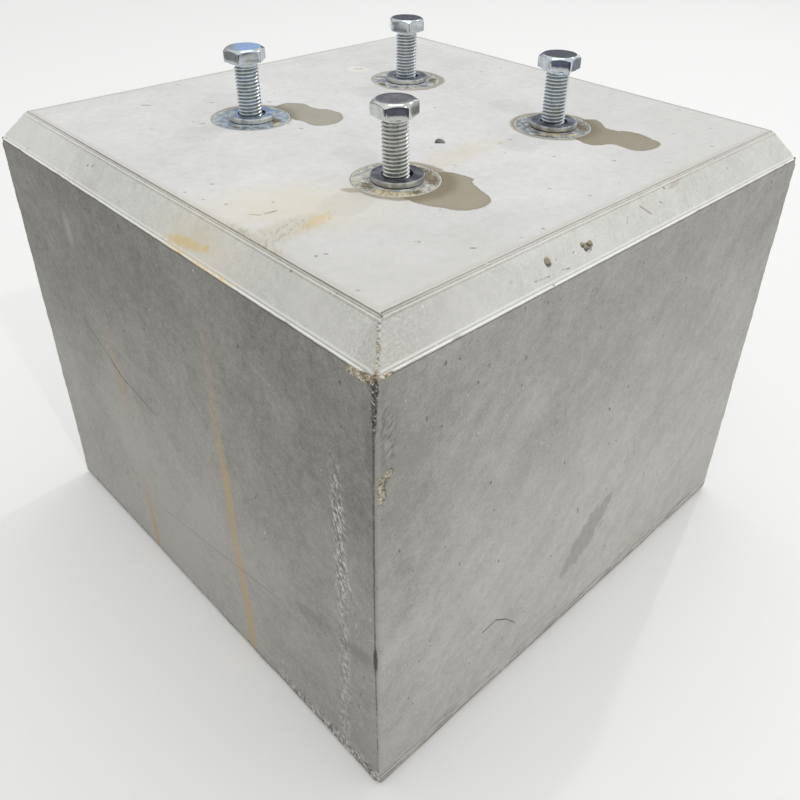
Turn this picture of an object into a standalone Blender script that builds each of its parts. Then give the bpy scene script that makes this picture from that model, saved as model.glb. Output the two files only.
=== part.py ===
"""Concrete deck pier block: a square cast block with four flanged sockets set in its top.

Each socket carries a loose washer and a hex bolt that is only part way screwed in.

Metres, +Z up. The origin is the middle of the underside. The block's worn front corner is at
-X -Y, its right-hand face looks along -Y and its left-hand face along -X.
"""

import math
import random

import bmesh
import bpy
from mathutils import Matrix, Vector

# Cast block
BLOCK_SIDE = 0.300
BLOCK_HEIGHT = 0.250
CHAMFER_WIDTH = 0.013     # how far the head is drawn in, level
CHAMFER_DROP = 0.014      # how far it falls, plumb
EDGE_WEAR = 0.0015        # rounding of the four upright arrises
BASE_WEAR = 0.0022        # rubbed edge all round the underside

# Joint lines that the chamfer strip left in the cast, along both its edges
LIP_RUN = 0.0014          # nearly level lip above each side face
LIP_RISE = 0.0005
JOINT_STEPS = 2           # fine steps between the chamfer and the top face
JOINT_RUN = 0.0009
JOINT_RISE = 0.0002
JOINT_RISER = 0.0006
RISER_RUN = 0.0002

# Sockets, set out on a square that sits a little off centre as cast
BOLT_SPACING = 0.1105
PATTERN_SHIFT = -0.002    # along Y
FLANGE_DIAMETER = 0.0405
FLANGE_THICKNESS = 0.0028
RIM_WIDTH = 0.0010        # pressed rim round the flange
RECESS_DEPTH = 0.0006     # ring-shaped recess between the rim and the boss
BOSS_MARGIN = 0.0005      # how much wider the boss is than the washer on it
SOCKET_LENGTH = 0.062
TUBE_WALL = 0.0028
FOOT_OVERHANG = 0.0055    # flared foot that keys into the concrete
FOOT_THICKNESS = 0.0040
BORE_SPARE = 0.012        # bore left below the bolt's point

# Washers
WASHER_DIAMETER = 0.024
WASHER_THICKNESS = 0.0025
WASHER_EDGE = 0.0003      # broken edge of the punched rim
WASHER_PLAY = 0.0010      # hole larger than the thread, on the radius

# Hex bolts, 12 mm coarse thread, threaded to the head
THREAD_DIAMETER = 0.012
NECK_DIAMETER = 0.0110
NECK_LENGTH = 0.0024
BOLT_LENGTH = 0.040       # under the head
POINT_CHAMFER = 0.0010
HEAD_FLATS = 0.0187
HEAD_HEIGHT = 0.0070
HEAD_FACE = 0.95          # chamfer circle on the head, as a share of its width over flats
HEAD_CHAMFER = math.radians(30)
WASHER_FACE = 0.0005      # round collar under the head

GAP = 0.0003              # left between pieces that touch
ROUND_STEPS = 28
RIM_STEPS = 36
SHARP_ANGLE = math.radians(25)
STRAY = 0.0001            # an edge counts as plumb or level within this much

# Each socket: its corner of the square, how far the bolt's head stands above the washer,
# the turn of its hexagon and how far the bolt leans towards -X +Y
STATIONS = {
    "front": {"corner": (-1, -1), "stand_off": 0.0256, "turn": -6.4, "lean": 1.5},
    "left": {"corner": (-1, 1), "stand_off": 0.0260, "turn": 9.6, "lean": 1.0},
    "right": {"corner": (1, -1), "stand_off": 0.0264, "turn": -20.0, "lean": 0.0},
    "back": {"corner": (1, 1), "stand_off": 0.0256, "turn": 23.8, "lean": 0.0},
}

# Knocked-off places on the upright arrises: corner, height as a share of the block's height,
# width and height of the missing piece, and how far it bites in along X and Y
CHIPS = {
    "head_corner": {"corner": (-1, -1), "level": 0.943, "size": (0.0075, 0.0062), "bite": (1.0, 1.0)},
    "upper_nick": {"corner": (-1, -1), "level": 0.852, "size": (0.0036, 0.0046), "bite": (1.0, 0.7)},
    "long_chip": {"corner": (-1, -1), "level": 0.758, "size": (0.0052, 0.0088), "bite": (1.3, 0.6)},
    "middle_nick": {"corner": (-1, -1), "level": 0.395, "size": (0.0040, 0.0075), "bite": (0.8, 1.0)},
    "lower_nick": {"corner": (-1, -1), "level": 0.215, "size": (0.0044, 0.0060), "bite": (1.0, 0.8)},
    "base_tip": {"corner": (-1, -1), "level": 0.006, "size": (0.0058, 0.0050), "bite": (1.0, 1.0)},
    "left_tip": {"corner": (-1, 1), "level": 0.940, "size": (0.0050, 0.0045), "bite": (1.0, 1.0)},
    "right_tip": {"corner": (1, -1), "level": 0.945, "size": (0.0056, 0.0060), "bite": (1.0, 1.0)},
}
CHIP_RELIEF = 0.12        # unevenness of a broken face, as a share of its size
CHIP_DEPTH = 0.55         # how far a lump's middle is drawn in from the arris

# Air holes: on the -Y chamfer at a share of its slope, and one on the top face
CHAMFER_HOLES = {
    "single": {"along": -0.379, "up": 0.50, "radius": 0.0013},
    "double_left": {"along": -0.223, "up": 0.43, "radius": 0.0013},
    "double_right": {"along": -0.209, "up": 0.40, "radius": 0.0012},
}
TOP_HOLE = {"across": (-0.039, -0.238), "radius": 0.0021}

CONCRETE_COLOUR = (0.50, 0.49, 0.47, 1.0)
GALVANISED_COLOUR = (0.46, 0.46, 0.44, 1.0)
ZINC_COLOUR = (0.66, 0.68, 0.70, 1.0)

HALF_SIDE = BLOCK_SIDE / 2
HEAD_EDGE = BLOCK_HEIGHT - CHAMFER_DROP
THREAD_RADIUS = THREAD_DIAMETER / 2
LEAST_STAND_OFF = min(station["stand_off"] for station in STATIONS.values())
LARGEST_LEAN = max(math.radians(abs(station["lean"])) for station in STATIONS.values())
ENGAGED = BOLT_LENGTH - WASHER_THICKNESS - GAP - LEAST_STAND_OFF
BORE_RADIUS = THREAD_RADIUS + GAP + ENGAGED * math.sin(LARGEST_LEAN)
BORE_DEPTH = ENGAGED + BORE_SPARE
TUBE_RADIUS = BORE_RADIUS + TUBE_WALL


def clear_scene():
    for obj in list(bpy.data.objects):
        bpy.data.objects.remove(obj, do_unlink=True)


def new_collection(name):
    collection = bpy.data.collections.new(name)
    bpy.context.scene.collection.children.link(collection)
    return collection


def principled(name, colour, roughness, metallic):
    material = bpy.data.materials.new(name)
    material.use_nodes = True
    shader = material.node_tree.nodes["Principled BSDF"]
    shader.inputs["Base Color"].default_value = colour
    shader.inputs["Roughness"].default_value = roughness
    shader.inputs["Metallic"].default_value = metallic
    return material


def link(name, mesh, collection):
    obj = bpy.data.objects.new(name, mesh)
    collection.objects.link(obj)
    return obj


def mesh_from(bm, name):
    mesh = bpy.data.meshes.new(name)
    bm.to_mesh(mesh)
    bm.free()
    return mesh


def turned(name, outline, collection, steps=ROUND_STEPS, ring=False):
    """Turn an outline of (radius, height) points about Z. A ring's outline closes on itself."""
    mesh = bpy.data.meshes.new(name)
    edges = [(i, i + 1) for i in range(len(outline) - 1)]
    if ring:
        edges.append((len(outline) - 1, 0))
    mesh.from_pydata([(radius, 0.0, height) for radius, height in outline], edges, [])
    obj = link(name, mesh, collection)
    screw = obj.modifiers.new("turn", "SCREW")
    screw.angle = math.tau
    screw.steps = steps
    screw.render_steps = steps
    screw.use_merge_vertices = True
    screw.merge_threshold = 0.00001
    return obj


def boolean(obj, tool, operation):
    modifier = obj.modifiers.new(tool.name, "BOOLEAN")
    modifier.operation = operation
    modifier.solver = "EXACT"
    modifier.object = tool


def finished_mesh(obj, name):
    """The mesh of an object with its modifiers applied, for several objects to share."""
    bpy.context.view_layer.update()
    graph = bpy.context.evaluated_depsgraph_get()
    mesh = bpy.data.meshes.new_from_object(obj.evaluated_get(graph))
    mesh.name = name
    mesh.shade_smooth()
    mesh.set_sharp_from_angle(angle=SHARP_ANGLE)
    return mesh


def block_mesh():
    """A box whose top face is drawn in and up, step by step, to give the moulded head."""
    bm = bmesh.new()
    bmesh.ops.create_cube(bm, size=1.0)
    bmesh.ops.scale(bm, vec=(BLOCK_SIDE, BLOCK_SIDE, HEAD_EDGE), verts=bm.verts)
    bmesh.ops.translate(bm, vec=(0.0, 0.0, HEAD_EDGE / 2), verts=bm.verts)
    top = max(bm.faces, key=lambda face: face.calc_center_median().z)

    steps_run = JOINT_STEPS * (JOINT_RUN + RISER_RUN)
    steps_rise = JOINT_STEPS * (JOINT_RISE + JOINT_RISER)
    slope_run = CHAMFER_WIDTH - LIP_RUN - steps_run
    slope_rise = CHAMFER_DROP - LIP_RISE - steps_rise
    moves = [(LIP_RUN, LIP_RISE), (slope_run, slope_rise)]
    moves += [(RISER_RUN, JOINT_RISER), (JOINT_RUN, JOINT_RISE)] * JOINT_STEPS
    for run, rise in moves:
        bmesh.ops.inset_individual(bm, faces=[top], thickness=run, depth=rise, use_even_offset=True)

    base = [edge for edge in bm.edges if all(abs(vert.co.z) < STRAY for vert in edge.verts)]
    bmesh.ops.bevel(bm, geom=base, offset=BASE_WEAR, segments=1, profile=0.5, affect="EDGES")
    upright = [edge for edge in bm.edges if is_upright(edge)]
    bmesh.ops.bevel(bm, geom=upright, offset=EDGE_WEAR, segments=2, profile=0.5, affect="EDGES")
    bmesh.ops.recalc_face_normals(bm, faces=bm.faces)
    return mesh_from(bm, "concrete_block")


def is_upright(edge):
    run = edge.verts[0].co - edge.verts[1].co
    return abs(run.z) > HEAD_EDGE / 2 and run.xy.length < STRAY


def broken_stone(name, centre, size, seed, collection):
    """An uneven lump, for the hollow that is left where a piece has broken away."""
    source = random.Random(seed)
    bm = bmesh.new()
    bmesh.ops.create_icosphere(bm, subdivisions=2, radius=1.0)
    for vert in bm.verts:
        vert.co *= 1.0 + CHIP_RELIEF * source.uniform(-1.0, 1.0)
    bmesh.ops.scale(bm, vec=size, verts=bm.verts)
    obj = link(name, mesh_from(bm, name), collection)
    obj.location = centre
    return obj


def chip_cutters(collection):
    cutters = []
    for seed, (name, chip) in enumerate(CHIPS.items()):
        side_x, side_y = chip["corner"]
        bite_x, bite_y = chip["bite"]
        wide, tall = chip["size"]
        half_wide = wide / 2
        centre = Vector((
            side_x * (HALF_SIDE + half_wide * (1.0 - CHIP_DEPTH * bite_x)),
            side_y * (HALF_SIDE + half_wide * (1.0 - CHIP_DEPTH * bite_y)),
            chip["level"] * BLOCK_HEIGHT,
        ))
        size = (half_wide * (1 + bite_x), half_wide * (1 + bite_y), tall)
        cutters.append(broken_stone("chip_" + name, centre, size, seed, collection))
    return cutters


def air_hole_cutters(collection):
    places = {}
    for name, hole in CHAMFER_HOLES.items():
        up = hole["up"]
        across = -HALF_SIDE + up * CHAMFER_WIDTH
        centre = (hole["along"] * HALF_SIDE, across, HEAD_EDGE + up * CHAMFER_DROP)
        places[name] = (centre, hole["radius"])
    share_x, share_y = TOP_HOLE["across"]
    places["top"] = ((share_x * HALF_SIDE, share_y * HALF_SIDE, BLOCK_HEIGHT), TOP_HOLE["radius"])
    cutters = []
    for seed, (name, (centre, radius)) in enumerate(places.items(), start=len(CHIPS)):
        size = (radius, radius, radius)
        cutters.append(broken_stone("air_hole_" + name, centre, size, seed, collection))
    return cutters


def socket_outside(gap):
    """Outside of a socket below the top face, from the flange down to the foot's underside."""
    flange = FLANGE_DIAMETER / 2 + gap
    tube = TUBE_RADIUS + gap
    foot = TUBE_RADIUS + FOOT_OVERHANG + gap
    foot_top = gap + FOOT_THICKNESS - SOCKET_LENGTH
    return [
        (flange, -FLANGE_THICKNESS - gap),
        (tube, -FLANGE_THICKNESS - gap),
        (tube, foot_top),
        (foot, foot_top),
        (foot, -SOCKET_LENGTH - gap),
        (0.0, -SOCKET_LENGTH - gap),
    ]


def socket_mesh(collection):
    """Flange with a rim and a boss level with the concrete, a blind bore and a flared foot."""
    flange = FLANGE_DIAMETER / 2
    rim = flange - RIM_WIDTH
    boss = WASHER_DIAMETER / 2 + BOSS_MARGIN
    face = [
        (0.0, -BORE_DEPTH),
        (BORE_RADIUS, -BORE_DEPTH),
        (BORE_RADIUS, 0.0),
        (boss, 0.0),
        (boss, -RECESS_DEPTH),
        (rim, -RECESS_DEPTH),
        (rim, 0.0),
        (flange, 0.0),
    ]
    obj = turned("socket_form", face + socket_outside(0.0), collection)
    return finished_mesh(obj, "socket")


def pocket_cutter(name, place, collection):
    """The hollow that the socket fills: its own outside, grown by the gap and open at the top."""
    mouth = FLANGE_DIAMETER / 2 + GAP
    outline = [(0.0, FLANGE_THICKNESS), (mouth, FLANGE_THICKNESS)] + socket_outside(GAP)
    obj = turned("pocket_" + name, outline, collection)
    obj.location = place
    return obj


def washer_mesh(collection):
    hole = THREAD_RADIUS + WASHER_PLAY
    rim = WASHER_DIAMETER / 2
    outline = [
        (hole, WASHER_THICKNESS),
        (rim - WASHER_EDGE, WASHER_THICKNESS),
        (rim, WASHER_THICKNESS - WASHER_EDGE),
        (rim, 0.0),
        (hole, 0.0),
    ]
    obj = turned("washer_form", outline, collection, RIM_STEPS, ring=True)
    return finished_mesh(obj, "washer")


def bolt_mesh(collection):
    """A hexagon cut to a chamfered crown and joined to a plain shank, bearing face at zero."""
    corner = HEAD_FLATS / math.sqrt(3)
    crown_face = HEAD_FACE * HEAD_FLATS / 2
    reach = corner + HEAD_HEIGHT
    crown = turned("crown", [
        (0.0, HEAD_HEIGHT),
        (crown_face, HEAD_HEIGHT),
        (reach, HEAD_HEIGHT - (reach - crown_face) * math.tan(HEAD_CHAMFER)),
        (reach, WASHER_FACE),
        (0.0, WASHER_FACE),
    ], collection, RIM_STEPS)
    neck = NECK_DIAMETER / 2
    run_out = THREAD_RADIUS - neck
    shank = turned("shank", [
        (0.0, HEAD_HEIGHT / 2),
        (crown_face, HEAD_HEIGHT / 2),
        (crown_face, 0.0),
        (neck, 0.0),
        (neck, -NECK_LENGTH),
        (THREAD_RADIUS, -NECK_LENGTH - run_out),
        (THREAD_RADIUS, POINT_CHAMFER - BOLT_LENGTH),
        (THREAD_RADIUS - POINT_CHAMFER, -BOLT_LENGTH),
        (0.0, -BOLT_LENGTH),
    ], collection)

    bm = bmesh.new()
    bmesh.ops.create_cone(
        bm, cap_ends=True, segments=6, radius1=corner, radius2=corner, depth=2 * HEAD_HEIGHT)
    bmesh.ops.translate(bm, vec=(0.0, 0.0, HEAD_HEIGHT / 2), verts=bm.verts)
    blank = link("hexagon_blank", mesh_from(bm, "hexagon_blank"), collection)
    boolean(blank, crown, "INTERSECT")
    boolean(blank, shank, "UNION")
    return finished_mesh(blank, "hex_bolt")


def main():
    clear_scene()
    parts = new_collection("deck_pier_block")
    forms = new_collection("cutters")

    concrete = principled("concrete", CONCRETE_COLOUR, 0.88, 0.0)
    galvanised = principled("galvanised_steel", GALVANISED_COLOUR, 0.45, 1.0)
    zinc = principled("zinc_plate", ZINC_COLOUR, 0.22, 1.0)

    block = link("concrete_block", block_mesh(), parts)
    block.data.materials.append(concrete)

    socket = socket_mesh(forms)
    socket.materials.append(galvanised)
    washer = washer_mesh(forms)
    washer.materials.append(zinc)
    bolt = bolt_mesh(forms)
    bolt.materials.append(zinc)

    lean_way = Vector((-1.0, 1.0, 0.0)).normalized()
    lean_axis = Vector((0.0, 0.0, 1.0)).cross(lean_way)
    pockets = []
    for name, station in STATIONS.items():
        corner_x, corner_y = station["corner"]
        place = Vector((
            corner_x * BOLT_SPACING / 2,
            corner_y * BOLT_SPACING / 2 + PATTERN_SHIFT,
            BLOCK_HEIGHT,
        ))
        pockets.append(pocket_cutter(name, place, forms))
        mouth = bpy.data.objects.new("mouth_" + name, None)
        parts.objects.link(mouth)
        mouth.location = place
        for piece, mesh in (("socket", socket), ("washer", washer), ("bolt", bolt)):
            link(piece + "_" + name, mesh, parts).parent = mouth
        washer_place = Vector((0.0, 0.0, GAP)) - lean_way * WASHER_PLAY / 2
        bpy.data.objects["washer_" + name].location = washer_place
        head = GAP + WASHER_THICKNESS + station["stand_off"]
        bpy.data.objects["bolt_" + name].matrix_local = (
            Matrix.Rotation(math.radians(station["lean"]), 4, lean_axis)
            @ Matrix.Translation((0.0, 0.0, head))
            @ Matrix.Rotation(math.radians(station["turn"]), 4, "Z")
        )

    for cutter in pockets + chip_cutters(forms) + air_hole_cutters(forms):
        boolean(block, cutter, "DIFFERENCE")
    for form in forms.objects:
        form.hide_render = True
        form.display_type = "WIRE"


main()
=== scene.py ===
"""Looks of the concrete deck pier block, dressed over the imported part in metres.

The file follows the object as it is put together: the cast block, the four sockets set in its
head, their washers, the bolts, and then the floor, the lamps and the camera.
"""

import math

import bmesh
import bpy
import numpy as np
from mathutils import Matrix


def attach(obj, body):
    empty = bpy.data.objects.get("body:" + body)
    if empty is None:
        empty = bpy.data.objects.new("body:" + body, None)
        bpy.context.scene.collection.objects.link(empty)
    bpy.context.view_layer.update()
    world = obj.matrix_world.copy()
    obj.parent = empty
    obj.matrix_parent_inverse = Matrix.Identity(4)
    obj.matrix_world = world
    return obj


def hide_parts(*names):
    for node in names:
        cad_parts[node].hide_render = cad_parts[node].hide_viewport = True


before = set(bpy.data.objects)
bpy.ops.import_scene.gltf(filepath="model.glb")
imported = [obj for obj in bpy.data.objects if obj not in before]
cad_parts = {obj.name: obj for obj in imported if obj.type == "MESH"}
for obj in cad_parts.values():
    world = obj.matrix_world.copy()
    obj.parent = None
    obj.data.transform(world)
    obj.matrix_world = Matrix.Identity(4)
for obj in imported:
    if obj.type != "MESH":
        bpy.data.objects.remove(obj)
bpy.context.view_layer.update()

# The block itself. It is concrete cast in a steel mould, so its sides are smooth and grey, and the
# mould's corner strip has left a pale chamfer with fine joint steps along both its edges. The front
# arris is honeycombed and knocked about, the underside's edges are rubbed, and air holes show.
HALF = 150.0              # half the block's side, in millimetres
HEAD_EDGE = 236.0         # where the chamfer starts
HEAD = 250.0              # level of the top face
FINE_FROM = 231.5         # above this the plan is divided finely, for the nicks along the lip
POCKET_GAP = 0.08         # room left round each socket
FLANGE_RADIUS = 20.25     # the socket: its flange, the tube below it and the flared foot
FLANGE_DEPTH = 2.8
TUBE_RADIUS = 9.404
FOOT_RADIUS = 14.904
FOOT_TOP = 58.0           # how far below the head the foot starts
SOCKET_DEPTH = 62.0

# The four sockets' places in plan, named after where they stand in the photograph
PLACES = {
    "front": (-55.25, -57.25),
    "left": (-55.25, 53.25),
    "right": (55.25, -57.25),
    "back": (55.25, 53.25),
}


def graded(marks):
    """Places from the first mark to the last. A mark is (place, spacing), and the spacing runs
    straight from one mark's to the next's."""
    places = [np.array([marks[0][0]])]
    for (start, near), (end, far) in zip(marks, marks[1:]):
        steps = max(1, round(2 * (end - start) / (near + far)))
        t = np.arange(1, steps + 1) / steps
        share = (near * t + (far - near) * t * t / 2) * 2 / (near + far)
        places.append(start + (end - start) * share)
    return np.concatenate(places)


def grain(points, size, seed):
    """Smooth random field from 0 to 1: every corner of a lattice of the given size has its own
    random number, and a place takes the eased average of the eight corners round it."""
    cells = points / size + seed * 7.31
    low = np.floor(cells).astype(np.int64)
    ease = cells - low
    ease = ease * ease * (3 - 2 * ease)
    total = np.zeros(len(points))
    for corner in np.ndindex(2, 2, 2):
        at = low + corner
        key = at[:, 0] * 73856093 ^ at[:, 1] * 19349663 ^ at[:, 2] * 83492791
        key = (key ^ (key >> 13)) * 1274126177 & 0xFFFFFFFF
        key = (key ^ (key >> 15)) & 0xFFFFFF
        weight = np.prod(np.where(np.array(corner) == 1, ease, 1 - ease), axis=1)
        total += weight * key / 0xFFFFFF
    return total


def ramp(value, low, high):
    """0 at low, 1 at high and eased between them."""
    t = np.clip((value - low) / (high - low), 0, 1)
    return t * t * (3 - 2 * t)


def surface(name, points, faces):
    """A piece of the object from points in millimetres, smooth shaded, in the scene."""
    mesh = bpy.data.meshes.new(name)
    mesh.from_pydata(points * 0.001, [], faces)
    mesh.update()
    mesh.shade_smooth()
    piece = bpy.data.objects.new(name, mesh)
    bpy.context.scene.collection.objects.link(piece)
    return piece


def round_the_plan(lines):
    """Points on the block's plan outline, once round from the front corner, for the given lines."""
    full = np.full(len(lines) - 1, HALF)
    forth, back = lines[:-1], lines[:0:-1]
    x = np.concatenate([forth, full, back, -full])
    y = np.concatenate([-full, forth, full, back])
    return x, y


def rounded(x, y, z, half, radius):
    """Turn the square plan's sharp corners into arcs: a point that is nearer the corner than the
    radius moves to the arc, at an angle that grows to 45 degrees at the corner itself."""
    along = half - np.minimum(abs(x), abs(y))
    angle = np.clip(1 - along / radius, 0, 1) * math.pi / 4
    new_along = np.where(angle > 0, radius - radius * np.sin(angle), along)
    inward = radius - radius * np.cos(angle)
    on_x = abs(x) >= abs(y)
    near_x = half - np.where(on_x, inward, new_along)
    near_y = half - np.where(on_x, new_along, inward)
    return np.stack([np.sign(x) * near_x, np.sign(y) * near_y, z], axis=-1)


FRONT_LINES = 18          # plan lines by the front corner that the coarse plan keeps
BACK_LINES = 13           # and by the far corners
STRIDE = 8                # between them it keeps every eighth line
fine = graded([(-150, 0.4), (-145, 0.5), (-136, 2.0), (136, 2.0), (146, 0.6), (150, 0.5)])
keep = np.concatenate([np.arange(0, FRONT_LINES),
                       np.arange(FRONT_LINES + STRIDE, len(fine) - FRONT_LINES, STRIDE),
                       np.arange(len(fine) - BACK_LINES, len(fine))])
coarse = fine[keep]

# The section, from the underside's edge up the side: (how far in from the side, height)
rise = graded([(2.4, 0.5), (8, 0.8), (40, 2.0), (46, 1.0), (62, 1.0), (70, 2.0), (86, 2.0), (92, 1.0),
               (106, 1.0), (114, 2.2), (168, 2.2), (178, 0.9), (FINE_FROM - 1, 0.6)])
low_section = [(3.0, 0.0), (1.9, 0.12), (1.0, 0.5), (0.4, 1.1), (0.1, 1.8)] + [(0.0, z) for z in rise]
slope = np.linspace(0, 1, 20)[:, None] * [9.0, 11.55] + [1.78, 236.72]
high_section = [(0.0, z) for z in (FINE_FROM, 232.2, 232.9, 233.5, 234.1, 234.6, 235.0, 235.35, 235.6)]
high_section += [(0.05, 235.8), (0.16, 235.93), (0.34, 236.03), (0.62, 236.12), (0.92, 236.22),
                 (1.18, 236.31), (1.34, 236.3), (1.44, 236.2), (1.56, 236.28), (1.68, 236.55)]
high_section += [tuple(point) for point in slope]
high_section += [(10.88, 248.3), (10.95, 248.22), (11.02, 248.35), (11.06, 248.75), (11.12, 249.0),
                 (11.24, 249.12), (11.5, 249.18), (11.72, 249.2), (11.84, 249.15), (11.93, 249.08),
                 (12.02, 249.15), (12.08, 249.45), (12.14, 249.7), (12.26, 249.84), (12.5, 249.9),
                 (12.66, 249.9), (12.76, 249.76), (12.86, 249.6), (12.97, 249.66), (13.05, 249.88),
                 (13.16, 249.97), (13.4, 250.0)]
CLOSING_RING = 14.4       # the top face's plain grid starts this far in


def rings(section, lines):
    """Carry a section round the plan: each of its points gives a square ring, drawn in towards the
    middle in proportion, so that the rings meet in mitres."""
    x, y = round_the_plan(lines)
    inset, height = np.array(section).T
    half = (HALF - inset)[:, None] + 0 * x
    share = half / HALF
    z = height[:, None] + 0 * x
    place = np.stack([x / HALF + 0 * z, y / HALF + 0 * z, z / 9], -1).reshape(-1, 3)
    wobble = grain(place, 1.0, 3).reshape(z.shape)
    front = (x < 0) & (y < 0)
    radius = np.where(front, 1.5, 2.1) * (0.6 + 0.8 * wobble)
    radius = np.where(z > HEAD_EDGE, radius * 0.35 + 0.2, radius)
    return rounded(share * x, share * y, z, half, radius).reshape(-1, 3)


def lattice(ring, first_new, count):
    """Numbers of a square grid's points, count by count, whose border is a ring already made."""
    grid = np.zeros((count, count), int)
    last = count - 1
    grid[:last, 0] = ring[:last]
    grid[last, :last] = ring[last:2 * last]
    grid[last:0:-1, last] = ring[2 * last:3 * last]
    grid[0, last:0:-1] = ring[3 * last:]
    grid[1:last, 1:last] = first_new + np.arange((count - 2) ** 2).reshape(count - 2, count - 2)
    return grid


def quads(grid, closed=False):
    """Faces between neighbouring points of a grid of numbers; closed joins its last column to its first."""
    if closed:
        grid = np.concatenate([grid, grid[:, :1]], axis=1)
    return np.stack([grid[:-1, :-1], grid[:-1, 1:], grid[1:, 1:], grid[1:, :-1]], -1).reshape(-1, 4).tolist()


def stitched(wide, narrow, picks):
    """Faces between a ring of few points and one of many above it. picks says which of the many
    stand over the few."""
    many = len(narrow)
    ends = np.append(picks[1:], many)
    return [[wide[i], wide[(i + 1) % len(wide)]] + [narrow[k % many] for k in range(end, start - 1, -1)]
            for i, (start, end) in enumerate(zip(picks, ends))]


span = len(fine) - 1
forth, back = keep[:-1], span - keep[:0:-1]
round_picks = np.concatenate([forth, span + forth, 2 * span + back, 3 * span + back])
few, many = 4 * (len(coarse) - 1), 4 * span
low_points = rings(low_section, coarse)
high_points = rings(high_section, fine)
closing = rings([(CLOSING_RING, HEAD)], coarse)
inner_x, inner_y = np.meshgrid(coarse[1:-1], coarse[1:-1], indexing="ij")


def inner(half, level):
    """The plain level grid inside a square ring of the given half side."""
    return np.stack([inner_x * half / HALF, inner_y * half / HALF, 0 * inner_x + level], -1).reshape(-1, 3)


points = np.concatenate([low_points, high_points, closing, inner(HALF - CLOSING_RING, HEAD),
                         inner(HALF - low_section[0][0], 0.0)])
high_start = len(low_points)
closing_start = high_start + len(high_points)
top_start = closing_start + few
base_start = top_start + (len(coarse) - 2) ** 2
low_grid = np.arange(high_start).reshape(-1, few)
high_grid = high_start + np.arange(len(high_points)).reshape(-1, many)
closing_ring = closing_start + np.arange(few)
top_grid = lattice(closing_ring, top_start, len(coarse))
base_grid = lattice(low_grid[0], base_start, len(coarse))
faces = quads(low_grid, True) + quads(high_grid, True)
faces += stitched(low_grid[-1], high_grid[0], round_picks)
faces += [face[::-1] for face in stitched(closing_ring, high_grid[-1], round_picks)]
faces += quads(top_grid.T) + quads(base_grid)

# Broken places: middle, reach along X, Y and Z, how deep it goes and how coarse its stones are
BREAKS = [
    ((-150, -149, 235.6), (2.6, 7.0, 2.8), 1.5, 0.9),
    ((-150, -150, 229.0), (1.7, 2.4, 5.0), 0.9, 0.9),
    ((-150, -150, 219.0), (1.5, 1.9, 6.0), 0.7, 0.9),
    ((-147.6, -150, 188.5), (4.6, 2.0, 5.6), 1.5, 1.2),
    ((-144.4, -150, 192.0), (2.2, 1.6, 4.2), 1.2, 1.0),
    ((-150, -150, 98.8), (1.8, 2.6, 8.0), 0.9, 1.4),
    ((-150, -150, 53.8), (2.4, 2.2, 6.0), 1.0, 1.6),
    ((-150, -150, 1.0), (3.0, 3.0, 4.0), 0.7, 1.8),
    ((-150, -112, 0.0), (2.0, 9.0, 3.0), 0.9, 2.0),
    ((-150, 150, 236.0), (4.0, 4.0, 4.0), 1.2, 1.6),
    ((150, -150, 236.5), (4.6, 4.6, 5.0), 1.4, 1.6),
    ((96, -150, 0.0), (10.0, 2.5, 3.0), 0.9, 2.0),
    ((-4, -150, 0.0), (7.0, 2.0, 2.4), 0.7, 2.0),
    ((150, 150, 236.0), (3.0, 3.0, 3.0), 0.8, 1.6),
]


def wear(at, inset):
    """How deep the surface lies under the clean form, in millimetres, at points of the clean form.
    It adds a slow waviness, rubbing near each arris that fades over a few millimetres, nicks along
    the lip, the underside's ragged edge, a granular seam on the front hip, and the broken places."""
    x, y, z = at.T
    side_gap = HALF - np.maximum(abs(x), abs(y))
    corner_gap = np.hypot(HALF - inset - abs(x), HALF - inset - abs(y))
    front = np.exp(-(np.hypot(x + HALF - inset, y + HALF - inset) / 1.5) ** 2)
    sides = z < HEAD_EDGE - 0.2
    depth = 0.10 * grain(at, 42, 1) + 0.05 * grain(at, 9, 2)
    ragged = abs(2 * grain(at, 3.1, 4) - 1) + 0.5 * abs(2 * grain(at, 1.5, 5) - 1)
    depth += np.where(sides, 0.55, 0.18) * np.exp(-(corner_gap / 1.8) ** 2) * ragged
    comb = ramp(grain(at * [1, 1, 0.8], 1.5, 6), 0.42, 0.72) * ramp(z, 196, 214) + 0.3 * ragged
    depth += np.where(sides, 0.6, 0.0) * front * comb
    seam = np.exp(-(np.hypot(x + HALF - inset, y + HALF - inset) / 1.1) ** 2) * (z > HEAD_EDGE) * (z < 248.3)
    depth += 0.55 * seam * ramp(grain(at, 1.25, 7), 0.3, 0.8)
    lip = np.exp(-((z - 235.9) / 0.55) ** 2) * (side_gap < 1.1)
    depth += 0.30 * lip * ramp(grain(at, 5.5, 8), 0.62, 0.9) + 0.16 * lip * grain(at, 1.3, 9)
    rim = np.exp(-((z - 249.9) / 0.3) ** 2) * (side_gap > 12.3) * (side_gap < 13.5)
    depth += 0.12 * rim * grain(at, 2.6, 10)
    foot = np.exp(-(z / 2.2) ** 2) * np.exp(-(side_gap / 2.2) ** 2) * ramp(x + y, -300, -270)
    scabs = (x < -HALF + 1) * ramp(z, 16, 3) * ramp(y, 20, -90) * ramp(grain(at, 2.2, 14), 0.45, 0.8)
    depth += np.where(side_gap < 1, 0.55, 0.0) * scabs
    depth += foot * (0.9 * ramp(grain(at, 7.0, 11), 0.4, 0.85) + 0.35 * ragged)
    for middle, reach, deep, stones in BREAKS:
        off = (at - middle) / reach
        far = np.sqrt((off ** 2).sum(axis=1)) + 0.5 * (grain(at, 2.4, 12) - 0.5)
        hollow = np.sqrt(np.clip(1 - far, 0, 1))
        depth = np.maximum(depth, deep * hollow * (0.55 + 0.9 * grain(at, stones, 13)))
    return depth


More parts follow.
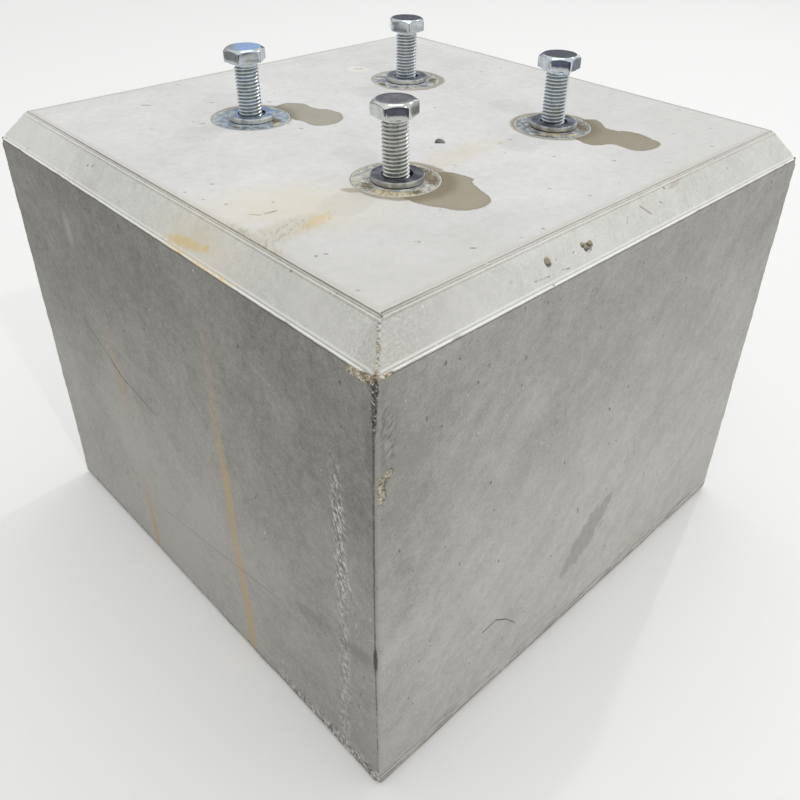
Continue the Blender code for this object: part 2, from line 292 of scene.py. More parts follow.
WELL_INSIDE = 40.0        # an inset that no wear reaches
inset_of = np.concatenate([
    np.repeat([inset for inset, height in low_section], few),
    np.repeat([inset for inset, height in high_section], many),
    np.full(few, CLOSING_RING), np.full(top_grid.size + base_grid.size - 2 * few, WELL_INSIDE),
])
skin = surface("cast_block", points, faces)
normals = np.zeros(len(points) * 3, np.float32)
skin.data.vertex_normals.foreach_get("vector", normals)
worn = points - normals.reshape(-1, 3) * wear(points, inset_of)[:, None]
worn[:, 2] = np.maximum(worn[:, 2], 0.0)
flat_under = np.concatenate([low_grid[0], base_grid[1:-1, 1:-1].ravel()])
worn[flat_under, 2] = 0.0

# The mould's left corner strip ran on a little past the right one, so the joint steps are out of line
half_there = HALF - inset_of
past_hip = ramp(worn[:, 0] + half_there, 0.9, 0.3) * ramp(worn[:, 1] + half_there, 5.0, 0.0)
past_hip *= ramp(worn[:, 2], 247.6, 248.3) * (inset_of < CLOSING_RING) * (worn[:, 0] < 0) * (worn[:, 1] < 0)
worn[:, 1] -= 1.15 * past_hip
skin.data.vertices.foreach_set("co", (worn * 0.001).ravel())
skin.data.update()


def revolved(section, centre, steps):
    """A section of (radius, height) points turned about an upright line, and its points' numbers as
    a grid with one row for each point of the section."""
    radius, height = np.array(section).T
    angle = np.arange(steps) * math.tau / steps
    x = centre[0] + radius[:, None] * np.cos(angle)
    y = centre[1] + radius[:, None] * np.sin(angle)
    z = height[:, None] + 0 * x
    points = np.stack([x, y, z], -1).reshape(-1, 3)
    return points, np.arange(len(points)).reshape(-1, steps)


def turned(outline, centre, steps):
    """Points and faces of an outline of (radius, height) points turned about an upright line. The
    outline closes on the line at both ends."""
    points, grid = revolved(outline[1:-1], centre, steps)
    ends = [[*centre, outline[0][1]], [*centre, outline[-1][1]]]
    around = np.roll(np.arange(steps), -1)
    first = np.stack([np.full(steps, len(points)), grid[0], grid[0][around]], -1).tolist()
    last = np.stack([np.full(steps, len(points) + 1), grid[-1][around], grid[-1]], -1).tolist()
    faces = quads(grid[::-1], True)
    return np.concatenate([points, ends]), first + faces + last


def lump(centre, reach, tilt, seed, near_wall=-2.0, steps=26):
    """A pebble-like cutter: a sphere of rings, stretched, tilted and made uneven by the grain. What
    lies beyond near_wall along its own first axis is cut off flat."""
    polar = np.linspace(0, math.pi, steps)
    outline = [(math.sin(a), math.cos(a)) for a in polar]
    ball, faces = turned(outline, (0.0, 0.0), steps * 2)
    ball = ball * (0.86 + 0.28 * grain(ball * 1.4 + seed, 1.0, seed))[:, None]
    ball[:, 0] = np.maximum(ball[:, 0], near_wall + 0.02 * ball[:, 0])
    ball = ball * reach
    turn = np.array(Matrix.Rotation(math.radians(tilt), 3, "Z") @ Matrix.Rotation(math.radians(47), 3, "X"))
    return ball @ turn.T + centre, faces


def socket_outside(gap):
    """The socket's outside below the top face, grown by the gap, as (radius, height) points."""
    under, foot, end = HEAD - FLANGE_DEPTH - gap, HEAD - FOOT_TOP + gap, HEAD - SOCKET_DEPTH - gap
    return [(FLANGE_RADIUS + gap, under), (TUBE_RADIUS + gap, under), (TUBE_RADIUS + gap, foot),
            (FOOT_RADIUS + gap, foot), (FOOT_RADIUS + gap, end), (0.0, end)]


# What is cut out of the skin: a pocket for each socket, and the air holes
pocket = [(0.0, HEAD + 3), (FLANGE_RADIUS + POCKET_GAP, HEAD + 3)] + socket_outside(POCKET_GAP)
hollows = [turned(pocket, centre, 128) for centre in PLACES.values()]
hollows += [
    lump((-8.35, -38.3, HEAD + 0.2), (8.0, 1.85, 3.8), 45, 21, 0.04),
    lump((-56.3, -144.1, 242.9), (1.5, 1.9, 1.5), 0, 22),
    lump((-32.0, -144.9, 241.4), (2.2, 2.2, 1.8), 0, 23),
    lump((-34.2, -144.0, 242.8), (1.2, 1.1, 0.9), 0, 27),
    lump((-29.6, -144.4, 242.2), (1.3, 1.4, 1.2), 0, 24),
    lump((-138.75, -92.6, 248.1), (0.7, 0.6, 0.8), 0, 25),
    lump((-148.6, -89.0, 237.2), (0.6, 0.9, 0.7), 0, 26),
]
cutters = []
for hollow_points, hollow_faces in hollows:
    cutter = surface("hollow", hollow_points, hollow_faces)
    cut = skin.modifiers.new("hollow", "BOOLEAN")
    cut.operation, cut.solver, cut.object = "DIFFERENCE", "EXACT", cutter
    cutters.append(cutter)
bpy.context.view_layer.update()
cut_mesh = bpy.data.meshes.new_from_object(skin.evaluated_get(bpy.context.evaluated_depsgraph_get()))
skin.modifiers.clear()
skin.data = cut_mesh
cut_mesh.name = "cast_block"
cut_mesh.shade_smooth()
cut_mesh.set_sharp_from_angle(angle=math.radians(38))
for cutter in cutters:
    bpy.data.objects.remove(cutter)


class Tone:
    """A socket in a material, so that its shader maths reads as plain arithmetic."""

    def __init__(self, finish, socket):
        self.finish = finish
        self.socket = socket

    def math(self, operation, *others):
        return self.finish.add("ShaderNodeMath", {"operation": operation}, (self, *others))

    def __add__(self, other):
        return self.math("ADD", other)

    def __radd__(self, other):
        return self.math("ADD", other)

    def __sub__(self, other):
        return self.math("SUBTRACT", other)

    def __rsub__(self, other):
        return self.finish.add("ShaderNodeMath", {"operation": "SUBTRACT"}, (other, self))

    def __mul__(self, other):
        return self.math("MULTIPLY", other)

    def __rmul__(self, other):
        return self.math("MULTIPLY", other)

    def __truediv__(self, other):
        return self.math("DIVIDE", other)

    def most(self, other):
        """The larger of the two."""
        return self.math("MAXIMUM", other)

    def least(self, other):
        """The smaller of the two."""
        return self.math("MINIMUM", other)

    def size(self):
        """The value without its sign."""
        return self.math("ABSOLUTE")

    def step(self, low, high):
        """0 at low, 1 at high and eased between; low may be the larger."""
        return self.finish.add("ShaderNodeMapRange", {"interpolation_type": "SMOOTHSTEP"},
                               {"Value": self, "From Min": low, "From Max": high})


class Finish:
    """Shader nodes under construction: a new material that ends in one Principled shader, or
    another node tree that is given."""

    def __init__(self, name, tree=None, place="Object"):
        if tree is None:
            self.material = bpy.data.materials.new(name)
            self.material.use_nodes = True
            tree = self.material.node_tree
            self.shader = tree.nodes["Principled BSDF"]
        self.tree = tree
        self.here = self.add("ShaderNodeTexCoord", {}, {}, place)

    def add(self, kind, settings, values, output=0):
        """Any node: its settings come first, then its inputs, by name or in order."""
        node = self.tree.nodes.new(kind)
        for key, value in settings.items():
            setattr(node, key, value)
        pairs = values.items() if isinstance(values, dict) else enumerate(values)
        for key, value in pairs:
            if isinstance(value, Tone):
                self.tree.links.new(value.socket, node.inputs[key])
            else:
                node.inputs[key].default_value = value
        return Tone(self, node.outputs[output])

    def axes(self):
        """The place on the object as X, Y and Z, in millimetres."""
        scaled = self.add("ShaderNodeVectorMath", {"operation": "SCALE"}, {0: self.here, "Scale": 1000.0})
        return [self.add("ShaderNodeSeparateXYZ", {}, (scaled,), axis) for axis in range(3)]

    def squeezed(self, stretch, turn, shift):
        """The place turned and shifted, then shortened along each axis by the stretch."""
        turned_place = self.add("ShaderNodeMapping", {"vector_type": "POINT"}, {
            "Vector": self.here, "Location": shift, "Rotation": [math.radians(a) for a in turn]})
        return self.add("ShaderNodeMapping", {"vector_type": "POINT"}, {
            "Vector": turned_place, "Scale": [1 / s for s in stretch]})

    def noise(self, size, detail=3.0, stretch=(1, 1, 1), turn=(0, 0, 0), shift=0.0, rough=0.55):
        """Cloudy noise from 0 to 1 whose lumps are size millimetres, longer where stretch is more."""
        place = self.squeezed(stretch, turn, (shift, shift * 0.7, -shift))
        return self.add("ShaderNodeTexNoise", {}, {
            "Vector": place, "Scale": 1000.0 / size, "Detail": detail, "Roughness": rough})

    def cells(self, size, shift=0.0, stretch=(1, 1, 1), turn=0.0):
        """Distance to the nearest of scattered points, in shares of their spacing."""
        place = self.squeezed(stretch, (0, 0, turn), (shift, -shift, shift))
        return self.add("ShaderNodeTexVoronoi", {}, {"Vector": place, "Scale": 1000.0 / size})

    def curve(self, value, points):
        """A smooth curve through points of (value, result), both from 0 to 1."""
        node = self.tree.nodes.new("ShaderNodeFloatCurve")
        line = node.mapping.curves[0]
        for spare in points[2:]:
            line.points.new(*spare)
        for mark, place in zip(line.points, sorted(points)):
            mark.location = place
        node.mapping.update()
        self.tree.links.new(value.socket, node.inputs["Value"])
        return Tone(self, node.outputs[0])

    def path(self, value, points):
        """As curve, for points in any units: (value, result) pairs."""
        values, results = zip(*points)
        low, high = min(values), max(values)
        least, most = min(results) - 0.001, max(results) + 0.001
        shares = [((v - low) / (high - low), (r - least) / (most - least)) for v, r in points]
        return self.curve((value - low) / (high - low), shares) * (most - least) + least

    def mix(self, share, first, second):
        """From the first colour to the second, by the share."""
        return self.add("ShaderNodeMix", {"data_type": "RGBA"}, {0: share, 6: first, 7: second}, 2)

    def bump(self, height, distance):
        """Relief: the height's whole range stands for this many millimetres."""
        return self.add("ShaderNodeBump", {}, {
            "Height": height, "Distance": distance * 0.001, "Strength": 1.0})

    def finish(self, colour, roughness, metallic=0.0, normal=None, **constants):
        """Link or set what the shader takes. Only these four vary over a surface."""
        given = {"Base Color": colour, "Roughness": roughness, "Metallic": metallic, "Normal": normal}
        for key, value in {**given, **constants}.items():
            if isinstance(value, Tone):
                self.tree.links.new(value.socket, self.shader.inputs[key])
            elif value is not None:
                self.shader.inputs[key].default_value = value
        return self.material


def paint(red, green, blue):
    """A colour from its red, green and blue in screen values up to 255."""
    return tuple(((c / 255 + 0.055) / 1.055) ** 2.4 for c in (red, green, blue)) + (1.0,)


def strongest(masks):
    """The largest of several masks, place by place."""
    largest = masks[0]
    for mask in masks[1:]:
        largest = largest.most(mask)
    return largest


def spot(u, v, middle, reach, turn=0.0, edge=0.25, ragged=None, amount=0.5):
    """1 inside an ellipse about the middle and 0 outside, with a soft edge that noise may fray."""
    cos, sin = math.cos(math.radians(turn)), math.sin(math.radians(turn))
    across, up = u - middle[0], v - middle[1]
    first = (across * cos + up * sin) / reach[0]
    second = (up * cos - across * sin) / reach[1]
    far = (first * first + second * second).math("SQRT")
    if ragged is not None:
        far = far + (ragged - 0.5) * amount
    return far.step(1 + edge, 1 - edge)


def stroke(u, v, start, end, half_width, edge=0.5):
    """1 on the straight line from start to end and 0 beyond its half width."""
    run, lift = end[0] - start[0], end[1] - start[1]
    length = run * run + lift * lift
    share = ((u - start[0]) * (run / length) + (v - start[1]) * (lift / length)).most(0.0).least(1.0)
    off_u, off_v = u - start[0] - share * run, v - start[1] - share * lift
    return (off_u * off_u + off_v * off_v).math("SQRT").step(half_width + edge, max(0.0, half_width - edge))


def puddle(finish, x, y, middle, reaches, ragged):
    """How far inside a wet stain's outline a place is, in millimetres. The outline is given by its
    reach from the middle at bearings in degrees, which a smooth curve joins."""
    across, up = x - middle[0], y - middle[1]
    bearing = finish.add("ShaderNodeMath", {"operation": "ARCTAN2"}, (up, across)) / math.tau + 1.0
    bearing = bearing.math("FRACT")
    marks = sorted(((angle % 360) / 360, reach) for angle, reach in reaches)
    before = (marks[-1][0] - 1, marks[-1][1])
    after = (marks[0][0] + 1, marks[0][1])
    seam = before[1] + (marks[0][1] - before[1]) * (0 - before[0]) / (marks[0][0] - before[0])
    marks = [(0.0, seam)] + marks + [(1.0, seam)]
    outline = finish.path(bearing, marks)
    return outline - (across * across + up * up).math("SQRT") + (ragged - 0.5) * 1.6


# Wet stains on the head beside the bolts: middle, (bearing, reach) round the outline, and shade
PUDDLES = [
    ((-48.7, -80.7), [(6, 19.5), (21, 20.0), (41, 21.5), (77, 20.3), (136, 20.9), (174, 18.5),
                      (213, 17.6), (232, 19.6), (255, 21.9), (272, 22.2), (296, 20.0), (314, 16.7),
                      (339, 14.9)], (162, 151, 128)),
    ((-28.4, 40.0), [(27, 9.8), (58, 16.3), (73, 19.6), (92, 21.9), (148, 20.0), (156, 12.0),
                     (204, 12.2), (225, 14.3), (267, 21.9), (282, 21.2), (301, 19.4), (321, 16.8),
                     (350, 12.6)], (167, 161, 144)),
    ((64.2, -85.5), [(6, 10.1), (39, 12.0), (53, 26.0), (118, 24.2), (155, 18.0), (181, 18.1),
                     (204, 15.0), (224, 12.3), (237, 15.2), (249, 22.0), (261, 25.1), (288, 26.5),
                     (306, 21.9), (339, 15.7)], (144, 133, 110)),
]


def ground(finish, dash=(1, 1, 1.8), turn=0.0):
    """What every face of the casting shares: the place, the noises from the widest clouds to the
    sandy grit, and scattered points."""
    x, y, z = finish.axes()
    cloud = finish.noise(75, 2)
    blotch = finish.noise(17, 3, shift=0.31)
    mottle = finish.noise(4.2, 5, shift=0.17, rough=0.62)
    fray = finish.noise(2.8, 3, shift=0.83)
    grit = finish.noise(1.15, 3, shift=0.05, rough=0.7)
    dots = finish.cells(6.5, 0.37, dash, turn)
    return x, y, z, cloud, blotch, mottle, fray, grit, dots


def pocked(finish, colour, dots, fray, dark, light):
    """Air holes where the scattered points and the noise agree, and a few pale specks."""
    pore = dots.step(0.12, 0.06) * fray.step(0.50, 0.56)
    speck = dots.step(0.12, 0.06) * fray.step(0.43, 0.39)
    colour = finish.mix(pore * 0.7, colour, dark)
    return finish.mix(speck * 0.7, colour, light), pore


def stony(finish, grit, fray):
    """Broken concrete: tan and cream sand grains, with painted shade in the dark hollows between them."""
    body = finish.mix(grit.step(0.5, 0.62), paint(176, 160, 132), paint(232, 228, 216))
    return finish.mix((grit + (fray - 0.5) * 0.4).step(0.48, 0.40) * 0.9, body, paint(74, 66, 54))


def arris_marks(finish, colour, x, y, z, fray, mottle, grit):
    """The front arris: honeycomb near the head and a dark crumbling line below it, whose pits are painted
    shade, a painted lighter strip beside the arris, and grime at the foot.
    The line has crept round on to the left side, by most at half height."""
    creep = finish.path(z, [(0, 0.2), (60, 1.4), (120, 2.0), (190, 1.8), (236, 0.6)])
    off_x, off_y = x + HALF, y + HALF - creep
    arris = (off_x * off_x + off_y * off_y).math("SQRT")
    dull = (arris + (mottle - 0.5) * 8).step(7.0, 1.0) * z.step(176, 205)
    colour = finish.mix(dull * 0.25, colour, paint(96, 92, 86))
    # Painted light: a lighter strip on the left side beside the arris, toned as if lit like the right side.
    strip = off_y.step(0.6, -0.6) * off_x.step(3.0, 1.0)
    colour = finish.mix(strip * 0.5, colour, paint(172, 169, 161))
    reach = finish.path(z, [(0, 0.2), (60, 0.4), (84, 0.35), (92, 1.1), (98, 0.9), (106, 0.4), (160, 0.42),
                            (190, 0.4), (201, 0.45), (209, 0.55), (216, 0.85), (223, 1.2), (231, 1.6),
                            (236, 1.9)])
    crumbly = z.step(200, 220) * 0.7 + 0.25
    line = (arris - reach + ((fray - 0.5) * 1.6 + (mottle - 0.5) * 1.0) * crumbly).step(0.4, -0.4)
    sand = finish.mix(grit.step(0.54, 0.66), paint(104, 98, 87), paint(216, 212, 202))
    # Painted shade: dark pits among the sand of the crumbling line, darker still lower down.
    sand_and_pit_shade = finish.mix(grit.step(0.52, 0.44) * 0.9, sand, paint(50, 47, 41))
    sand_and_pit_shade = finish.mix(z.step(222, 204) * 0.8, sand_and_pit_shade, paint(66, 62, 54))
    colour = finish.mix(line * 0.88, colour, sand_and_pit_shade)
    grime = (z + (mottle - 0.5) * 9 + (fray - 0.5) * 5).step(6.5, 0.5)
    return finish.mix(grime * 0.6, colour, paint(116, 108, 92))


def left_side():
    """The formed side that looks along -X: grey, lighter towards its foot, with two rust runs, a
    long scratch, lime bloom beside the front arris and darker smudges."""
    finish = Finish("cast_side_left")
    x, y, z, cloud, blotch, mottle, fray, grit, dots = ground(finish)
    brush = finish.noise(1.5, 3, stretch=(1, 1, 2.4), turn=(38, 0, 0), shift=0.71)
    lighter = z.step(215, 60) * (0.5 + (y + 150).step(0, 170) * 0.42)
    lighter = lighter + (y - 5).size().step(110, 20) * z.step(230, 150) * 0.14
    lighter = lighter + (y + 75).step(0, -60) * z.step(130, 200) * 0.1
    tone = (lighter * 0.85 + (cloud - 0.5) * 0.75 + (blotch - 0.5) * 0.65 + (mottle - 0.5) * 0.75
            + (brush - 0.5) * 0.5 + (grit - 0.5) * 1.3 + 0.05)
    colour = finish.mix(tone * 0.69 + 0.31, SIDE_DARK, SIDE_LIGHT)
    colour, pore = pocked(finish, colour, dots, fray, paint(84, 81, 76), paint(212, 211, 207))
    # Painted shadow: a dark band along the top of the side, just under the lip.
    under = (z + (fray - 0.5) * 1.0).step(234.8, 235.5)
    colour = finish.mix(under * 0.7, colour, paint(78, 75, 70))

    run = (y - finish.path(z, [(-2, -48.0), (27, -48.5), (42, -47.6), (70, -46.0), (97, -44.0), (123, -44.2),
                               (134, -42.9), (146, -41.4), (170, -41.4), (190, -42.3), (214, -45.0)])).size()
    strength = finish.path(z, [(-2, 0.7), (27, 0.72), (84, 0.56), (110, 0.68), (123, 0.7), (134, 0.5),
                               (150, 0.38), (160, 0.27), (186, 0.2), (214, 0.0)])
    rust = (run - (fray - 0.5) * 2.0 - 3.4).step(1.4, -1.4) * strength * (0.4 + 1.0 * mottle)
    colour = finish.mix(rust, colour, paint(194, 170, 126))
    second = (y - finish.path(z, [(8, 52.0), (26, 51.8), (41, 53.0), (57, 52.6), (100, 55.0), (114, 55.3),
                                  (126, 56.7), (138, 58.6), (163, 59.6)])).size()
    strength = finish.path(z, [(-2, 0.6), (26, 0.66), (41, 0.45), (57, 0.18), (80, 0.08), (100, 0.1),
                               (114, 0.25), (126, 0.42), (138, 0.34), (151, 0.22), (168, 0.0)])
    second = (second - (fray - 0.5) * 2.0).step(4.4, 1.6) * strength * (0.5 + 1.0 * blotch)
    colour = finish.mix(second, colour, paint(190, 164, 120))
    scratch = strongest([stroke(y, z, (90.1, 150.3), (64.0, 137.0), 0.2, 0.5),
                         stroke(y, z, (64, 137), (55, 130.5), 0.6, 0.7),
                         stroke(y, z, (55, 130.5), (20.9, 123.4), 0.2, 0.6)])
    colour = finish.mix(scratch * (0.3 + 0.6 * mottle), colour, paint(84, 81, 77))

    centre = (y - finish.path(z, [(-2, -125.0), (42, -126.5), (105, -128.0), (156, -127.5),
                                  (190, -125.5)])).size()
    bloom = (centre + (blotch - 0.5) * 5 + (fray - 0.5) * 4).step(5.5, 1.0) * z.step(196, 166)
    strand = strongest([stroke(y, z, (-130, 138), (-136, 114), 0.5, 0.8),
                        stroke(y, z, (-136, 114), (-137.5, 92), 0.4, 0.7),
                        stroke(y, z, (-131, 78), (-129, 8), 0.7, 1.0)])
    bloom = bloom.most(strand) * (0.55 + 0.45 * z.step(108, 132)) * (0.45 + blotch)
    scaly = finish.noise(1.35, 3, stretch=(1, 1, 1.9), turn=(24, 0, 0), shift=0.67, rough=0.62)
    colour = finish.mix(bloom * 0.1, colour, paint(196, 195, 192))
    colour = finish.mix(bloom * scaly.step(0.51, 0.61) * 0.85, colour, paint(226, 225, 221))
    colour = finish.mix(bloom * scaly.step(0.47, 0.37) * 0.7, colour, paint(88, 85, 80))
    scab = (z + (blotch - 0.5) * 8).step(15, 5) * (y + (blotch - 0.5) * 30).step(-40, -125)
    colour = finish.mix(scab * scaly.step(0.50, 0.59) * 0.9, colour, paint(230, 228, 222))
    colour = finish.mix(scab * scaly.step(0.49, 0.39) * 0.85, colour, paint(66, 61, 52))

    dark = strongest([spot(y, z, (-104, 82), (15, 5), -18, 0.6, mottle, 0.9),
                      spot(y, z, (-138, 88), (12, 4), -20, 0.6, mottle, 0.9)])
    colour = finish.mix(dark * 0.35, colour, paint(118, 114, 109))
    pale = spot(y, z, (82, 206), (3.4, 8.0), -8, 0.8, mottle, 1.6)
    colour = finish.mix(pale * 0.32, colour, paint(206, 204, 202))
    hairline = stroke(y, z, (32.5, 47.9), (-80.1, 70.7), 0.15, 0.5) * (0.2 + 0.4 * mottle)
    colour = finish.mix(hairline, colour, paint(92, 90, 86))
    for start, end in LEFT_SCRATCHES:
        colour = finish.mix(stroke(y, z, start, end, 0.1, 0.45) * 0.5, colour, paint(88, 85, 80))
    broken = spot(y, z, (-144.5, 235.0), (9.0, 2.3), -7, 0.2, fray, 1.2)
    colour = finish.mix(broken * 0.9, colour, stony(finish, grit, fray))
    colour = arris_marks(finish, colour, x, y, z, fray, mottle, grit)
    rough = bloom.most(scab)
    height = mottle * 1.4 + brush * 1.0 + grit * 0.9 - pore * 1.2 + rough * scaly * 2.4 - scratch * 0.6
    relief = finish.bump(height, 0.16)
    return finish.finish(colour, 0.86 - mottle * 0.1, 0.0, relief, **{"Specular IOR Level": 0.3})


def right_side():
    """The formed side that looks along -Y: lighter, with faint upright bands, a brown-grey smudge, a
    crooked line and a few small marks."""
    finish = Finish("cast_side_right")
    x, y, z, cloud, blotch, mottle, fray, grit, dots = ground(finish)
    bands = finish.noise(9, 3, stretch=(1, 1, 5), turn=(0, -42, 0), shift=0.41)
    brush = finish.noise(1.3, 3, stretch=(1, 1, 2.4), turn=(0, -42, 0), shift=0.71)
    lighter = z.step(228, 50) * 0.44 + (x + 145).step(0, 90) * 0.3 - x.step(40, 120) * 0.06
    tone = (lighter + (cloud - 0.5) * 0.6 + (blotch - 0.5) * 0.5 + (mottle - 0.5) * 0.6 + (bands - 0.5) * 0.5
            + (brush - 0.5) * 0.55 + (grit - 0.5) * 1.0 + 0.05)
    colour = finish.mix(tone, RIGHT_DARK, RIGHT_LIGHT)
    colour, pore = pocked(finish, colour, dots, fray, paint(94, 91, 86), paint(216, 215, 211))
    # Painted shadow: a dark band along the top of the side, just under the lip.
    under = (z + (fray - 0.5) * 1.0).step(234.8, 235.5)
    colour = finish.mix(under * 0.65, colour, paint(84, 81, 76))

    spindle = finish.path(x, [(-22, 43), (-12, 51), (0, 60), (12, 70), (22, 80)])
    half_height = finish.path(x, [(-22, 1.0), (-10, 9.0), (0, 13.0), (10, 9.0), (22, 1.0)])
    within = (x.size()).step(21.5, 19.0)
    outside = (z - spindle).size() - half_height + (mottle - 0.5) * 18 + (fray - 0.5) * 7
    patch = outside.step(2.6, -2.6) * within
    colour = finish.mix(patch * (0.1 + 0.2 * blotch + 0.22 * grit), colour, paint(116, 108, 102))
    crooked = strongest([stroke(x, z, (-82.5, 52.6), (-72.5, 53.4), 0.25, 0.4),
                         stroke(x, z, (-72.5, 53.4), (-64, 46.8), 0.2, 0.4),
                         stroke(x, z, (-64, 46.8), (-56, 37), 0.05, 0.35) * 0.8])
    colour = finish.mix(crooked * 0.9, colour, paint(60, 60, 58))
    for start, end, width, depth in RIGHT_MARKS:
        colour = finish.mix(stroke(x, z, start, end, width, 0.45) * depth, colour, paint(92, 89, 85))
    scuff = spot(x, z, (-142.5, 215), (2.6, 12), 8, 0.5, mottle, 1.6)
    colour = finish.mix(scuff * 0.25, colour, paint(122, 119, 114))
    rubbed = spot(x, z, (-145.0, 211), (3.6, 13), 8, 0.6, mottle, 1.8)
    colour = finish.mix(rubbed * brush.step(0.52, 0.62) * 0.5, colour, paint(192, 189, 182))
    colour = finish.mix(rubbed * brush.step(0.49, 0.39) * 0.55, colour, paint(104, 101, 95))
    dim = spot(x, z, (-135.7, 140.2), (4.5, 5.0), 30, 0.5, mottle, 1.0)
    colour = finish.mix(dim * 0.25, colour, paint(120, 116, 112))
    chip = strongest([spot(x, z, (-148.2, 187.5), (3.0, 6.4), 0, 0.12, fray, 0.9),
                      spot(x, z, (-144.8, 192), (1.9, 3.8), -30, 0.15, fray, 0.8)])
    colour = finish.mix(chip * 0.75, colour, stony(finish, grit, fray))
    # Painted shade: a dark rim round the chip and dark flecks inside it.
    chip_rim_shade = chip * (1 - chip) * 2.2 + chip * mottle.step(0.52, 0.4) * 0.4
    colour = finish.mix(chip_rim_shade, colour, paint(74, 68, 58))
    layers = finish.noise(1.6, 3, stretch=(14, 1, 1), shift=0.23, rough=0.6)
    banded = (z + (blotch - 0.5) * 4).step(15, 8)
    colour = finish.mix(banded * layers.step(0.5, 0.6) * 0.5, colour, paint(206, 203, 196))
    colour = finish.mix(banded * layers.step(0.5, 0.4) * 0.5, colour, paint(118, 111, 98))
    broken = spot(x, z, (-147.0, 235.6), (4.6, 1.1), 6, 0.25, fray, 1.2)
    colour = finish.mix(broken * 0.85, colour, stony(finish, grit, fray))
    colour = arris_marks(finish, colour, x, y, z, fray, mottle, grit)
    relief = finish.bump(mottle * 1.4 + brush * 0.9 + grit * 0.9 - pore * 1.2 - crooked * 1.5, 0.16)
    return finish.finish(colour, 0.86 - mottle * 0.1, 0.0, relief, **{"Specular IOR Level": 0.3})


def plain_side():
    """The two sides and the underside that are out of sight: the same formed concrete, unmarked."""
    finish = Finish("cast_side_plain")
    x, y, z, cloud, blotch, mottle, fray, grit, dots = ground(finish)
    tone = (z.step(228, 40) * 0.4 + (cloud - 0.5) * 0.4 + (blotch - 0.5) * 0.4 + (mottle - 0.5) * 0.5
            + (grit - 0.5) * 0.9 + 0.36)
    colour = finish.mix(tone, SIDE_DARK, RIGHT_LIGHT)
    colour, pore = pocked(finish, colour, dots, fray, paint(94, 91, 86), paint(216, 215, 211))
    grime = (z + (mottle - 0.5) * 7 + (fray - 0.5) * 4).step(5.5, 0.5)
    colour = finish.mix(grime * 0.55, colour, paint(112, 104, 88))
    relief = finish.bump(mottle * 1.6 + grit * 0.8 - pore * 1.2, 0.12)
    return finish.finish(colour, 0.86 - mottle * 0.1, 0.0, relief, **{"Specular IOR Level": 0.3})


